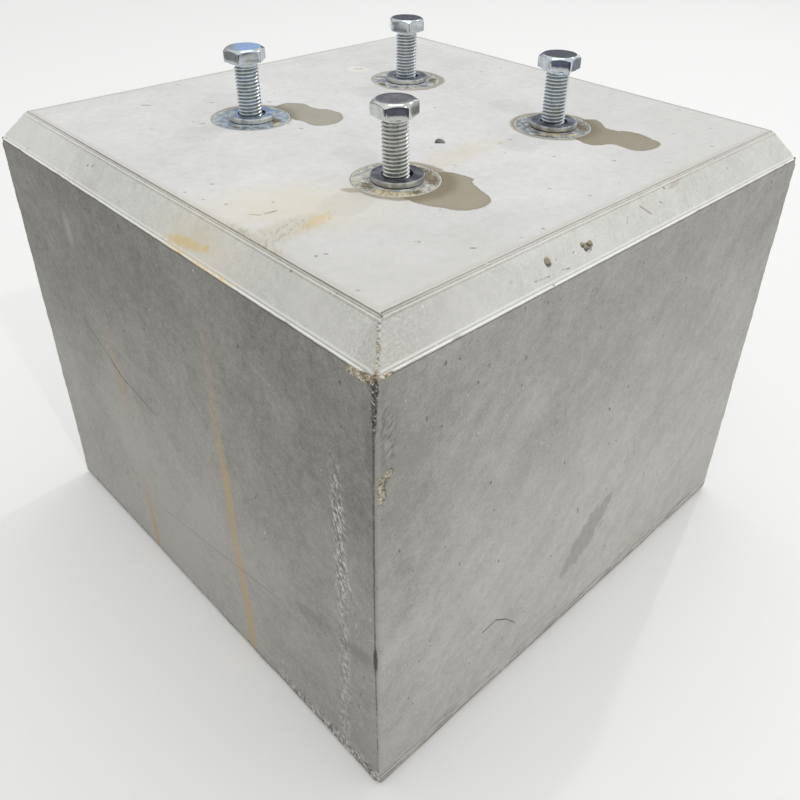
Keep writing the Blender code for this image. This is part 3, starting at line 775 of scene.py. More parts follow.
def cast_head():
    """The head and its chamfer: a smooth pale cement skin, with painted shade in the joint lines and
    painted highlights on their ridges, a painted shadow line at the lip's lower edge, wet stains,
    rust on the left lip and in a cloud above it, a feathered smear, a granular front hip, and air
    holes painted dark inside as shade."""
    finish = Finish("cast_head")
    x, y, z, cloud, blotch, mottle, fray, grit, dots = ground(finish, (2.6, 1, 1.8), 45)
    past_hip = (x + 136.8).step(0.6, 0.0) * (y + 137).step(4, 0) * z.step(247.8, 248.3) * 1.15
    inset = (HALF - x.size()).least(HALF - y.size() + past_hip)
    top = z.step(249.3, 249.75) * inset.step(12.7, 13.1)
    tone = ((cloud - 0.5) * 1.1 + (blotch - 0.5) * 1.0 + (mottle - 0.5) * 1.2
            + (grit - 0.5) * (1.7 - 1.0 * top) + 0.5)
    colour = finish.mix(tone, finish.mix(top, STRIP_DARK, TOP_DARK), finish.mix(top, STRIP_LIGHT, TOP_LIGHT))
    dull = (x - y).size().step(150, 10) * (x + 120).step(20, -10) * (1 - top)
    colour = finish.mix(dull * 0.18, colour, paint(176, 174, 167))
    colour = finish.mix(y.step(40, 115) * (1 - top) * 0.5, colour, paint(240, 240, 237))
    grubby = (y + 136.8).step(0.3, -0.3) * x.step(-60, -130) * (1 - top)
    colour = finish.mix(grubby * 0.3, colour, paint(178, 176, 169))
    colour = finish.mix((x + y).step(-120, -250) * top * 0.4, colour, paint(203, 201, 194))
    colour = finish.mix((x - y).step(90, 200) * top * 0.3, colour, paint(206, 204, 198))
    near_hip = (x - y).size().step(60, 4) * (x + y + 220).step(60, 0) * (1 - top)
    colour = finish.mix(near_hip * grit.step(0.46, 0.62) * 0.26, colour, paint(150, 146, 136))
    colour = finish.mix(near_hip * grit.step(0.46, 0.34) * 0.4, colour, paint(240, 238, 232))

    shift = (fray - 0.5) * 0.34 + (mottle - 0.5) * 0.2
    # Painted shade in the joint grooves round the head, stronger where the blotch is high.
    joint = 0.0
    for place, width, strength in JOINT_SHADES:
        joint = joint + (inset - place + shift).size().step(width, width * 0.3) * strength
    fainter = 1 - (y.step(60, 140) * 0.45).most((y + 136).step(1, 0) * (x + 128).step(0, 16) * 0.5)
    joint = (joint * (0.45 + 0.9 * blotch) * fainter).least(1.0)
    colour = finish.mix(joint, colour, paint(104, 98, 86))
    tan = (inset - 11.45).size().step(0.45, 0.15) * z.step(247.5, 248.5) * (y + 110).size().step(130, 20)
    colour = finish.mix(tan * 0.25, colour, paint(228, 216, 186))
    # Painted highlights: pale lines on the joint ridges and on the lip's ledge, as bright as the lit top.
    bright = (inset - 0.5).size().step(0.75, 0.3) * 0.95 + (inset - 1.95).size().step(0.4, 0.1) * 0.6
    bright = bright + (inset - 11.45).size().step(0.35, 0.1) * 0.3
    bright = bright + (inset - 13.5).size().step(0.6, 0.1) * 0.4
    colour = finish.mix(bright.least(1.0) * z.step(235.85, 236.0), colour, paint(252, 251, 247))
    # Painted shadow: a thin dark line along the lower edge of the lip.
    colour = finish.mix((z + (fray - 0.5) * 0.5).step(235.75, 235.55), colour, paint(110, 106, 99))
    dirt = inset.step(17.0, 13.0) * top * (0.15 + 0.5 * blotch)
    colour = finish.mix(dirt, colour, paint(190, 184, 168))
    colour, pore = pocked(finish, colour, dots, fray, paint(128, 122, 112), TOP_LIGHT)

    insides = [puddle(finish, x, y, middle, reaches, fray) for middle, reaches, shade in PUDDLES]
    wet = strongest(insides)
    around = []
    for name, (east, north, reach) in RINGS.items():
        cx, cy = PLACES[name][0] + east, PLACES[name][1] + north
        far = ((x - cx) * (x - cx) + (y - cy) * (y - cy)).math("SQRT")
        around.append(reach - far + (mottle - 0.5) * 3.0 + (blotch - 0.5) * 3.0)
    ring = strongest(around)
    wet_mask = wet.step(-0.35, 0.35) * top
    brim = (wet - 0.6).size().step(1.2, 0.2) * top
    ring_mask = ring.step(-0.9, 0.9) * top
    near_flange = ring.step(-5.0, 1.0) * top

    cream = spot(x, y, (-104, -52), (34, 20), -38, 0.8, blotch, 0.9) * top
    colour = finish.mix(cream * 0.55, colour, paint(230, 223, 200))
    warm = spot(x, y, (-12, -54.5), (26, 8), 4, 0.9, mottle, 1.0) * top
    colour = finish.mix(warm * 0.38, colour, paint(230, 218, 192))
    ripple = finish.noise(1.5, 3, stretch=(1.0, 3.2, 1.0), turn=(0, 0, 40), shift=0.19)
    smear = strongest([spot(x, y, (-126, -67), (17, 7.0), 8, 0.6, blotch, 1.0),
                       spot(x, y, (-135.5, -66), (3.5, 17), 0, 0.5, blotch, 0.8)]) * top
    colour = finish.mix(smear * (0.26 + 0.25 * fray), colour, paint(196, 187, 156))
    colour = finish.mix(smear * ripple.step(0.5, 0.64) * 0.36, colour, paint(158, 153, 140))
    colour = finish.mix(smear * ripple.step(0.46, 0.36) * 0.4, colour, paint(222, 219, 210))
    rusty = spot(x, y, (-108, -68.5), (8.5, 3.2), 14, 0.5, fray, 2.2) * top
    colour = finish.mix(rusty * (0.2 + 0.5 * ripple.step(0.56, 0.44)), colour, paint(228, 196, 136))
    dashes = strongest([stroke(x, y, (-124.8, -45.6), (-121.7, -49.4), 0.35, 0.4),
                        stroke(x, y, (-119.5, -49.6), (-114.8, -50.2), 0.6, 0.4)])
    colour = finish.mix(dashes * top * mottle.step(0.3, 0.5) * 0.85, colour, paint(176, 160, 124))
    tints = strongest([spot(x, y, (14.4, -56.9), (1.4, 0.9), -45, 0.3, fray, 0.8),
                       stroke(x, y, (32.2, -52.9), (36.5, -54.5), 0.2, 0.4)])
    colour = finish.mix(tints * top * 0.5, colour, paint(212, 176, 128))
    halo = spot(x, y, (48.6, 89.3), (7.0, 6.2), -45, 0.15, fray, 0.6) * top
    colour = finish.mix(halo * 0.6, colour, paint(243, 241, 230))
    middle_mark = spot(x, y, (48.9, 89.0), (3.6, 2.4), -45, 0.3, fray, 0.8) * top
    colour = finish.mix(middle_mark * 0.55, colour, paint(196, 194, 184))
    for middle, size in TOP_FLECKS:
        fleck = spot(x, y, middle, size, -45, 0.3, fray, 0.8) * top
        colour = finish.mix(fleck * 0.6, colour, paint(130, 124, 112))
    tail = spot(x, y, (-77.6, -54.6), (5.0, 2.4), -45, 0.4, fray, 1.0) * top
    colour = finish.mix(ring_mask.most(tail * 0.8) * 0.75, colour, paint(150, 139, 114))
    for inside, (middle, reaches, shade) in zip(insides, PUDDLES):
        colour = finish.mix(inside.step(-0.35, 0.35) * top * (0.8 + 0.18 * blotch), colour, paint(*shade))
    colour = finish.mix(brim * 0.3, colour, paint(142, 131, 108))
    colour = finish.mix(wet_mask * near_flange * 0.5, colour, paint(118, 106, 80))

    on_left = (1 - top) * (x + 136.8).step(0.3, -0.3)
    lip = inset.step(2.4, 0.7) * on_left
    reach = (y + 46).size().step(34, 14).most((y - 62).size().step(22, 8) * 0.35)
    speckled = (fray - 0.5 + (mottle - 0.5)).step(-0.2, 0.25)
    colour = finish.mix(lip * reach * speckled * 0.8, colour, paint(240, 206, 142))
    haze = spot(y, z, (-40, 242.5), (24, 6.5), 0, 0.9, blotch, 0.9) * on_left
    colour = finish.mix(haze * 0.42, colour, paint(222, 213, 180))
    spots = spot(y, z, (-45.0, 241.1), (1.7, 1.2), 0, 0.4, fray, 1.2)
    smudge = spot(y, z, (-31, 239.2), (10.0, 1.7), -6, 0.6, fray, 2.4)
    colour = finish.mix(spots.most(smudge * (0.4 + mottle)) * on_left * 0.62, colour, paint(228, 192, 110))

    on_right = (1 - top) * (y + 136.8).step(0.3, -0.3)
    cracks = strongest([stroke(x, z, (-67.0, 239.3), (-58.4, 238.7), 0.05, 0.4),
                        stroke(x, z, (-50.9, 238.8), (-46.3, 238.1), 0.05, 0.4)])
    colour = finish.mix(cracks * on_right * mottle.step(0.4, 0.55) * 0.7, colour, paint(122, 118, 108))
    scratch = stroke(x, z, (9.5, 245.9), (14.7, 241.9), 0.22, 0.4)
    colour = finish.mix(scratch * on_right * 0.75, colour, paint(160, 130, 98))
    tick = stroke(x, z, (-3.0, 242.6), (-1.2, 244.6), 0.2, 0.4)
    colour = finish.mix(tick * on_right * 0.5, colour, paint(168, 158, 142))
    blur = spot(x, z, (39, 247.6), (5.5, 0.9), 6, 0.5, fray, 1.2) * on_right
    colour = finish.mix(blur * 0.4, colour, paint(176, 158, 132))
    for middle, size in STRIP_HOLES:
        hole = spot(x, z, middle, size, 0, 0.1) * on_right
        shaded = 1 - spot(x, z, (middle[0] + 0.45 * size[0], middle[1] + 0.45 * size[1]), size, 0, 0.3)
        colour = finish.mix(hole * 0.85, colour, finish.mix(shaded, paint(170, 158, 130), paint(58, 51, 40)))
    along = ((x + 8.35) + (y + 38.3)) * 0.7071
    across = (((x + 8.35) - (y + 38.3)) * 0.7071).size()
    air = z.step(249.9, 249.7) * along.step(9, 8.5) * across.step(3.2, 2.8) * along.step(-0.6, -0.2)
    # Painted shade: the air hole darkens with depth, nearly black at its floor.
    deep = finish.mix(z.step(247.6, 249.5), paint(20, 20, 21), paint(150, 150, 148))
    colour = finish.mix(air * 0.95, colour, deep)

    hip = ((x - y - 0.35).size() + (fray - 0.5) * 2.6).step(1.4, 0.4) * (x + 130).step(4, 0)
    hip = hip * (1 - top) * z.step(248.0, 247.4)
    bead = finish.mix(grit.step(0.5, 0.6), paint(194, 182, 154), paint(240, 237, 227))
    colour = finish.mix(hip * 0.66, colour, finish.mix(grit.step(0.52, 0.45), bead, paint(120, 104, 76)))
    corner = ((x + HALF) * (x + HALF) + (y + HALF) * (y + HALF)).math("SQRT") + (fray - 0.5) * 5
    crumbs = corner.step(9.5, 7.0) * inset.step(1.3, 0.7)
    crumbs = crumbs.most(corner.step(4.2, 3.0))
    colour = finish.mix(crumbs * 0.85, colour, stony(finish, grit, fray))
    height = mottle * 1.4 + grit * 0.5 - pore * 1.0 + smear * ripple * 0.6 + hip * grit * 3.0
    relief = finish.bump(height, 0.09)
    damp = (wet_mask * 0.3 + ring_mask * 0.15).least(0.4)
    return finish.finish(colour, 0.88 - damp - mottle * 0.08, 0.0, relief, **{"Specular IOR Level": 0.35})


SIDE_DARK = paint(115, 112, 107)
SIDE_LIGHT = paint(180, 178, 172)
RIGHT_DARK = paint(152, 150, 145)
RIGHT_LIGHT = paint(199, 197, 191)
STRIP_DARK = paint(207, 206, 200)
STRIP_LIGHT = paint(231, 230, 226)
TOP_DARK = paint(213, 213, 211)
TOP_LIGHT = paint(234, 233, 234)
# Air holes on the chamfer's right side, as (place, reach)
STRIP_HOLES = [((-56.3, 242.8), (1.8, 1.7)), ((-34.2, 242.8), (1.3, 1.0)), ((-32.0, 241.4), (2.4, 1.7)),
               ((-29.6, 242.1), (1.4, 1.2))]
# The joint lines round the head, painted as shade: how far in, half width and darkness
JOINT_SHADES = [(1.45, 0.25, 0.35), (10.93, 0.2, 0.3), (11.95, 0.2, 0.36), (12.88, 0.62, 1.0)]
# How far the old rust and water have spread round each flange: the ring's shift and its reach
RINGS = {"front": (0.7, -2.3, 22.6), "left": (1.0, 0.6, 21.2), "right": (0.2, -0.4, 22.2),
         "back": (0.8, -1.0, 21.9)}
TOP_FLECKS = [((-19.8, -21.9), (1.5, 0.6)), ((-23.6, -62.8), (1.0, 0.5)), ((-86, 107), (3.0, 0.8)),
              ((-127.2, -92.0), (0.6, 0.9)), ((-123.5, -93.1), (1.1, 0.5)), ((-132.2, -121.1), (1.0, 0.4)),
              ((-110.4, -42.3), (0.7, 0.5)), ((-125.9, -31.4), (0.8, 0.5)), ((-118.7, -9.6), (1.0, 0.5)),
              ((-131.8, -9.7), (0.9, 0.5))]
LEFT_SCRATCHES = [((-6.0, 176), (-14.0, 166)), ((-20.0, 158), (-33.0, 147)), ((-71.0, 205), (-73.5, 201.5)),
                  ((22, 196), (17, 192)), ((-106, 186), (-108.5, 181))]
RIGHT_MARKS = [((-13.6, 89.5), (-12.8, 86.0), 0.5, 0.6), ((12.5, 57.5), (15.5, 60.5), 0.3, 0.6),
               ((87.0, 57.5), (89.5, 60.5), 0.4, 0.5), ((71.7, 228.6), (71.6, 226.9), 0.3, 0.6),
               ((93.6, 236.0), (93.4, 234.4), 0.3, 0.5), ((77.1, 8.4), (78.4, 8.0), 0.6, 0.4),
               ((25.0, 112.0), (33.0, 82.0), 0.2, 0.18), ((30.5, 116.0), (35.5, 96.0), 0.15, 0.18)]

# Each face takes its material by where it looks: 0 the head, 1 left, 2 right, 3 out of sight
skin.data.materials.clear()
for make in (cast_head, left_side, right_side, plain_side):
    skin.data.materials.append(make())
middles = np.zeros(len(skin.data.polygons) * 3, np.float32)
skin.data.polygons.foreach_get("center", middles)
mx, my, mz = middles.reshape(-1, 3).T * 1000
outer = np.maximum(abs(mx), abs(my)) > 140
side = np.where(-mx >= np.maximum(abs(my), mx), 1, np.where(-my >= np.maximum(abs(mx), my), 2, 3))
side = np.where((mz > 235.62) | ~outer & (mz > 1), 0, side)
side = np.where((mz < 0.05) & ~outer, 3, side)
skin.data.polygons.foreach_set("material_index", side.astype(np.int32))
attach(skin, "root")
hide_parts("concrete_block")

# The sockets. Each is one galvanised steel pressing and tube: a round flange level with the
# concrete, with a thin pressed rim, a shallow channel and a boss that the washer lies on, and
# below it a blind threaded tube with a flared foot. Cement and rust have dried in the channel.
FLANGE_SECTION = [
    (0.0, -23.6), (6.604, -23.6), (6.604, -0.5), (6.75, -0.12), (7.1, 0.0), (9.0, 0.0), (11.4, 0.0),
    (12.2, -0.02), (12.42, -0.1), (12.5, -0.25), (12.55, -0.45), (12.7, -0.56), (13.1, -0.6), (13.8, -0.6),
    (14.5, -0.6), (15.2, -0.6), (15.9, -0.6), (16.6, -0.6), (17.3, -0.6), (18.0, -0.6), (18.6, -0.6),
    (19.0, -0.56), (19.14, -0.44), (19.24, -0.2), (19.36, -0.05), (19.6, 0.0), (19.9, 0.0), (20.1, -0.05),
    (20.22, -0.18), (FLANGE_RADIUS, -0.4), (FLANGE_RADIUS, -FLANGE_DEPTH), (TUBE_RADIUS, -FLANGE_DEPTH),
    (TUBE_RADIUS, -FOOT_TOP), (FOOT_RADIUS, -FOOT_TOP), (FOOT_RADIUS, -SOCKET_DEPTH), (0.0, -SOCKET_DEPTH),
]


def socket_piece(name, crust):
    """The flange's section turned in 200 steps. Dried cement fills the channel and frets the rim:
    the grain lifts the channel's floor, by no more than the channel's own depth."""
    outline = [(radius, HEAD + height) for radius, height in FLANGE_SECTION]
    points, faces = turned(outline, PLACES[name], 200)
    radius = np.hypot(points[:, 0] - PLACES[name][0], points[:, 1] - PLACES[name][1])
    showing = (points[:, 2] > HEAD - 0.7) & (radius > 12.6)
    channel = showing * ramp(radius, 12.6, 13.2) * ramp(radius, 19.3, 18.7)
    lift = crust * ramp(grain(points, 2.6, 31), 0.45, 0.85) + 0.10 * grain(points, 1.0, 32)
    rim = showing * ramp(radius, 18.9, 19.5)
    points[:, 2] += channel * np.minimum(lift, 0.55) - rim * 0.10 * grain(points, 1.8, 33)
    piece = surface("flange_" + name, points, faces)
    piece.data.set_sharp_from_angle(angle=math.radians(50))
    return piece


def film_over(finish, colour, share, noise, dark, light):
    """Lay a film over the colour, by the share. The film's own shade goes from dark to light."""
    return finish.mix(share, colour, finish.mix(noise, paint(*dark), paint(*light)))


def galvanised(name, cement, tint, brown_patches, gold_patches):
    """Dull zinc with a spangle, cement film in the channel, brown and golden rust where each socket
    has it, and a pale frayed rim. A patch is (bearing in degrees, radius, reach along, reach across)."""
    finish = Finish("galvanised_" + name)
    x, y, z = finish.axes()
    cx, cy = PLACES[name]
    across, up = x - cx, y - cy
    far = (across * across + up * up).math("SQRT")
    blotch = finish.noise(4.0, 3, shift=0.13)
    fray = finish.noise(1.3, 4, shift=0.57, rough=0.65)
    zinc = finish.mix(blotch.step(0.35, 0.65), (*(0.62 * part for part in tint[:3]), 1.0), tint)
    colour = finish.mix(fray.step(0.54, 0.64) * 0.4, zinc, paint(92, 96, 100))
    channel = far.step(12.4, 13.0) * far.step(19.4, 18.9)

    def patches(places):
        """All the patches together, each an ellipse square to its bearing."""
        masks = []
        for bearing, radius, along, wide in places:
            turn = math.radians(bearing)
            middle = (radius * math.cos(turn), radius * math.sin(turn))
            masks.append(spot(across, up, middle, (wide, along), bearing, 0.35, fray, 1.3))
        return strongest(masks)

    film = (fray * 0.55 + blotch * 0.6).step(0.72 - 0.2 * cement, 0.8 - 0.16 * cement) * channel
    colour = film_over(finish, colour, film * 0.85, fray.step(0.4, 0.6), (184, 180, 162), (226, 224, 216))
    brown = patches(brown_patches)
    colour = film_over(finish, colour, brown * 0.85, fray.step(0.4, 0.62), (84, 72, 50), (138, 122, 90))
    gold = patches(gold_patches)
    colour = film_over(finish, colour, gold * 0.8, fray.step(0.36, 0.56), (160, 138, 96), (222, 210, 176))
    rim = (far - 19.55 + (fray - 0.5) * 0.9).size().step(0.75, 0.3)
    rim_film = rim * (0.35 + 0.6 * cement) * blotch.step(0.25, 0.45)
    colour = film_over(finish, colour, rim_film, fray.step(0.4, 0.6), (190, 186, 170), (222, 220, 210))
    # Painted shade: the bore inside the boss is darkened.
    colour = finish.mix(far.step(7.0, 6.4) * 0.8, colour, paint(40, 40, 42))
    crust = film.most(brown).most(gold).most(rim_film)
    relief = finish.bump(fray * (0.6 + crust) + blotch * 0.5, 0.16)
    return finish.finish(colour, 0.3 + crust * 0.4 + fray * 0.14, 0.72 - crust * 0.68, relief)


# Height of the crust, amount of cement, the zinc's tint, brown patches and golden patches
SOCKETS = {
    "front": (0.36, 1.3, paint(206, 210, 208),
              [(166, 14.6, 4.0, 2.2), (258, 16.2, 3.4, 2.0), (329, 15.2, 9.5, 3.2), (0, 16.4, 5.0, 2.4)],
              [(206, 15.6, 5.5, 2.8), (228, 16.4, 7.0, 2.6)]),
    "left": (0.22, 0.55, paint(196, 208, 220),
             [(300, 14.0, 4.2, 2.4), (205, 15.0, 2.4, 1.4)], [(288, 16.5, 3.0, 1.4)]),
    "right": (0.30, 0.7, paint(178, 186, 192),
              [(318, 15.4, 8.0, 3.0), (200, 16.6, 3.0, 1.2)], [(222, 13.4, 7.5, 1.3), (262, 15.2, 4.0, 1.6)]),
    "back": (0.26, 0.8, paint(208, 214, 220),
             [(-40, 16.0, 6.0, 2.4), (170, 16.4, 3.6, 1.8)], [(240, 16.6, 4.0, 1.4)]),
}
for name, (crust, cement, tint, brown_patches, gold_patches) in SOCKETS.items():
    flange = socket_piece(name, crust)
    flange.data.materials.append(galvanised(name, cement, tint, brown_patches, gold_patches))
    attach(flange, "root")
    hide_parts("socket_" + name)

# The washers. Plain punched steel washers, zinc plated, 24 mm across and 2.5 mm thick. The punch
# has rolled the upper edge over, and they lie loose, pushed a little to one side of the bolts.
WASHER_SECTION = [
    (7.0, 0.18), (7.0, 2.25), (7.08, 2.42), (7.25, 2.5), (8.4, 2.5), (9.8, 2.5), (11.2, 2.49), (11.62, 2.44),
    (11.86, 2.3), (11.97, 2.08), (12.0, 1.8), (12.0, 0.22), (11.92, 0.05), (11.75, 0.0), (9.5, 0.0),
    (7.2, 0.0),
]
WASHER_SHIFT = 0.5 / math.sqrt(2)
WASHER_GAP = 0.3          # what is left between the flange and the washer


def ring_piece(name, section, centre, level, steps):
    """A closed section turned once round: its last point joins its first."""
    points, grid = revolved(section, centre, steps)
    points[:, 2] += level
    grid = np.concatenate([grid, grid[:1]])
    return surface(name, points, quads(grid[::-1], True))


def zinc_washer(name, dark, light, crust):
    """Satin zinc plate with faint turning marks, cloudy where it has dulled, a pale outer wall that is partly
    a painted reflection of the flange, and rust at the edge.
    """
    finish = Finish("washer_" + name)
    x, y, z = finish.axes()
    cx, cy = PLACES[name]
    across, up = x - cx - WASHER_SHIFT, y - cy + WASHER_SHIFT
    far = (across * across + up * up).math("SQRT")
    cloud = finish.noise(5.5, 3, shift=0.21)
    fray = finish.noise(1.2, 4, shift=0.47)
    colour = finish.mix(cloud.step(0.38, 0.62), dark, light)
    wall = far.step(11.6, 11.95)
    # The outer wall is paler and less metallic: partly a duller finish, partly a painted reflection of the
    # flange.
    colour = film_over(finish, colour, wall * 0.85, cloud.step(0.4, 0.6), (176, 178, 172), (226, 227, 222))
    low = z.step(251.6, 250.3) * wall
    rust = low * (cloud * 0.6 + fray * 0.5).step(0.6 - 0.2 * crust, 0.72 - 0.16 * crust)
    colour = film_over(finish, colour, rust * 0.8, fray.step(0.4, 0.6), (120, 92, 56), (196, 164, 112))
    relief = finish.bump(fray * 0.6 + cloud * 0.8, 0.05)
    roughness = 0.24 + fray * 0.16 + wall * 0.25 + rust * 0.3
    return finish.finish(colour, roughness, 1.0 - wall * 0.35 - rust * 0.5, relief)


# Each washer's darker and lighter zinc and how much rust. The front one's dark violet and the left one's pale
# blue are partly painted reflections of the surroundings they face.
WASHERS = {
    "front": (paint(92, 90, 100), paint(140, 142, 150), 0.35),
    "left": (paint(150, 164, 182), paint(206, 214, 222), 0.05),
    "right": (paint(96, 102, 114), paint(156, 162, 172), 1.6),
    "back": (paint(126, 136, 150), paint(180, 188, 196), 0.2),
}
for name, (dark, light, crust) in WASHERS.items():
    middle = (PLACES[name][0] + WASHER_SHIFT, PLACES[name][1] - WASHER_SHIFT)
    washer = ring_piece("plain_washer_" + name, WASHER_SECTION, middle, HEAD + WASHER_GAP, 128)
    washer.data.set_sharp_from_angle(angle=math.radians(50))
    washer.data.materials.append(zinc_washer(name, dark, light, crust))
    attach(washer, "root")
    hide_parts("washer_" + name)

# The bolts. Hot-headed steel set screws, M12 with a 1.75 mm coarse thread rolled almost to the
# head, bright zinc plated. The head is a 19 mm spanner hexagon with a turned chamfer and a thin
# washer face. Each is only started in its socket, and two of them lean a little.
PITCH = 1.75
THREAD = 6.0              # radii of the thread's crest, its root and the neck above it
ROOT = 5.02
NECK = 5.5
NECK_LENGTH = 1.5
BOLT_LENGTH = 40.0
HEAD_FLATS = 18.7
HEAD_HEIGHT = 6.99
WASHER_TOP = 2.8          # of the washer, over the head of the block
ROUND = 96                # points round the bolt
SAME_PLACE = 0.0000008    # points this close, in metres, are merged
NO_LENGTH = 0.0000004     # edges this short are dissolved
# The thread's profile over one pitch, from root to crest and back: (share of the pitch, radius)
THREAD_SECTION = [(0.0, ROOT), (0.07, ROOT), (0.14, ROOT + 0.1), (0.30, 5.42), (0.44, 5.86), (0.49, 5.97),
                  (0.54, THREAD), (0.62, THREAD), (0.67, 5.97), (0.72, 5.86), (0.86, 5.42),
                  (0.98, ROOT + 0.1)]


def threaded_bolt():
    """Points and faces of the bolt about its own line, with the head's bearing face at zero.

    The head is a stack of rings whose radius follows a hexagon with softened corners: the flat's
    half width over the cosine of the angle from the flat's middle. The chamfer is a cone, and a
    point of the flats' upper edge sits where the cone meets the hexagon at its angle. The thread
    is one ribbon: a row of points follows the helix, so its height grows by a pitch each turn, and
    its radius is the same all the way along, from the thread's section; near both ends the rows
    are held to the end's level and drawn to the core."""
    angle = np.arange(ROUND) * math.tau / ROUND
    from_flat = (angle + math.pi / 6) % (math.pi / 3) - math.pi / 6
    flat = HEAD_FLATS / 2
    hexagon = flat / np.cos(from_flat)
    hexagon = np.minimum(hexagon, flat / math.cos(math.pi / 6) - 0.22)
    crown = flat * 0.905
    tan = math.tan(math.radians(33))

    def cone(radius):
        """Height of the head's turned chamfer at a radius."""
        return HEAD_HEIGHT - (radius - crown) * tan

    edge = cone(hexagon)
    stack = [
        (NECK + 0.9, 0.02), (flat * 0.935, 0.02), (flat * 0.95, 0.12), (flat * 0.95, 0.5),
        (hexagon * 0.985, 0.5), (hexagon * 0.997, 0.58), (hexagon, 0.78), (hexagon, 0.45 * edge + 0.35),
        (hexagon, edge - 0.42), (hexagon - 0.015, edge - 0.2), (hexagon - 0.07, edge - 0.03),
        (hexagon - 0.2, cone(hexagon - 0.2) - 0.005),
        (hexagon * 0.4 + crown * 0.6, cone(hexagon * 0.4 + crown * 0.6)),
        (crown + 0.12, HEAD_HEIGHT - 0.09), (crown - 0.06, HEAD_HEIGHT - 0.02), (crown - 0.35, HEAD_HEIGHT),
        (crown * 0.66, HEAD_HEIGHT - 0.03), (crown * 0.33, HEAD_HEIGHT - 0.05),
    ]
    head = np.array([np.stack([r * np.cos(angle), r * np.sin(angle), z + 0 * angle], -1) for r, z in stack])
    head = head.reshape(-1, 3)

    top, bottom = -NECK_LENGTH, 1.0 - BOLT_LENGTH
    per_turn = len(THREAD_SECTION)
    turns = math.ceil((top - bottom) / PITCH) + 2
    rows = np.arange(turns * per_turn + 1)
    share, radius = np.array(THREAD_SECTION)[rows % per_turn].T
    start = bottom - 1.5 * PITCH + PITCH * (rows // per_turn + share)
    height = start[:, None] + PITCH * angle / math.tau
    fade = ramp(height, top, top - 1.0) * ramp(height, bottom - 0.1, bottom + 0.9)
    radius = np.where(height > (top + bottom) / 2, NECK, ROOT) * (1 - fade) + radius[:, None] * fade
    height = np.clip(height, bottom, top)
    ribbon = np.stack([radius * np.cos(angle), radius * np.sin(angle), height], -1).reshape(-1, 3)
    ring = np.arange(ROUND)
    column = np.append(ring, 0)
    step = np.append(np.zeros(ROUND, int), per_turn)
    index = rows[:, None] * ROUND + column + step * ROUND
    index = index[:-per_turn] + len(head)
    faces = quads(index)

    neck_levels = np.array([0.02, -0.2, -0.45, -0.75, -1.1, top])
    neck_radii = np.array([NECK + 0.9, NECK + 0.5, NECK + 0.25, NECK + 0.08, NECK, NECK])
    point_levels = np.array([bottom, -BOLT_LENGTH + 0.5, -BOLT_LENGTH])
    point_radii = np.array([ROOT, ROOT - 0.2, ROOT - 0.6])

    def stacked(radii, levels):
        """A turned profile: a ring of points for each radius and level."""
        return np.stack([radii[:, None] * np.cos(angle), radii[:, None] * np.sin(angle),
                         levels[:, None] + 0 * angle], -1)

    neck = stacked(neck_radii, neck_levels).reshape(-1, 3)
    tip = stacked(point_radii, point_levels).reshape(-1, 3)
    head_grid = np.arange(len(head)).reshape(-1, ROUND)
    neck_grid = len(head) + len(ribbon) + np.arange(len(neck)).reshape(-1, ROUND)
    tip_grid = len(head) + len(ribbon) + len(neck) + np.arange(len(tip)).reshape(-1, ROUND)
    faces += quads(head_grid, True) + quads(neck_grid[::-1], True) + quads(tip_grid[::-1], True)
    points = np.concatenate([head, ribbon, neck, tip, [[0, 0, HEAD_HEIGHT - 0.05], [0, 0, -BOLT_LENGTH]]])
    middle_top, middle_low = len(points) - 2, len(points) - 1
    follow = np.roll(ring, -1)
    faces += np.stack([head_grid[-1], head_grid[-1][follow], np.full(ROUND, middle_top)], -1).tolist()
    faces += np.stack([tip_grid[-1][follow], tip_grid[-1], np.full(ROUND, middle_low)], -1).tolist()
    return points, faces


def bright_zinc(name, lean, skin_tint, warm, flats):
    """Bright zinc plate: a mirror-like skin with faint clouds, painted shade in the thread's valleys and a
    painted highlight on its crests, and, by the share given, painted shade on the head's flats."""
    finish = Finish("bolt_zinc_" + name)
    x, y, z = finish.axes()
    cx, cy = PLACES[name]
    slide = math.sin(math.radians(lean)) / math.sqrt(2)
    across, up = x - cx + (z - HEAD) * slide, y - cy - (z - HEAD) * slide
    far = (across * across + up * up).math("SQRT")
    cloud = finish.noise(3.2, 3, shift=0.35)
    fray = finish.noise(0.7, 3, shift=0.61)
    colour = finish.mix(cloud.step(0.35, 0.65), paint(206, 210, 208), skin_tint)
    colour = finish.mix(fray.step(0.55, 0.7) * 0.2, colour, warm)
    thread = z.step(HEAD + 27.2, HEAD + 26.4) * far.step(7.0, 6.4)
    # Painted shade in the thread's valleys and a painted highlight on its crests.
    valley_shade = far.step(5.75, 5.15) * thread
    colour = finish.mix(valley_shade * 0.5, colour, paint(104, 108, 106))
    colour = finish.mix((thread - valley_shade).most(0.0) * 0.35, colour, paint(250, 250, 246))
    # Painted shade on the head's flats, by the share given, for the darker surroundings they mirror.
    side = far.step(8.6, 9.0) * z.step(HEAD + 35.2, HEAD + 34.8)
    colour = finish.mix(side * flats, colour, paint(128, 130, 118))
    relief = finish.bump(cloud * 0.6 + fray * 0.2, 0.03)
    return finish.finish(colour, 0.07 + fray * 0.06 + cloud * 0.04 + thread * 0.1, 1.0, relief)
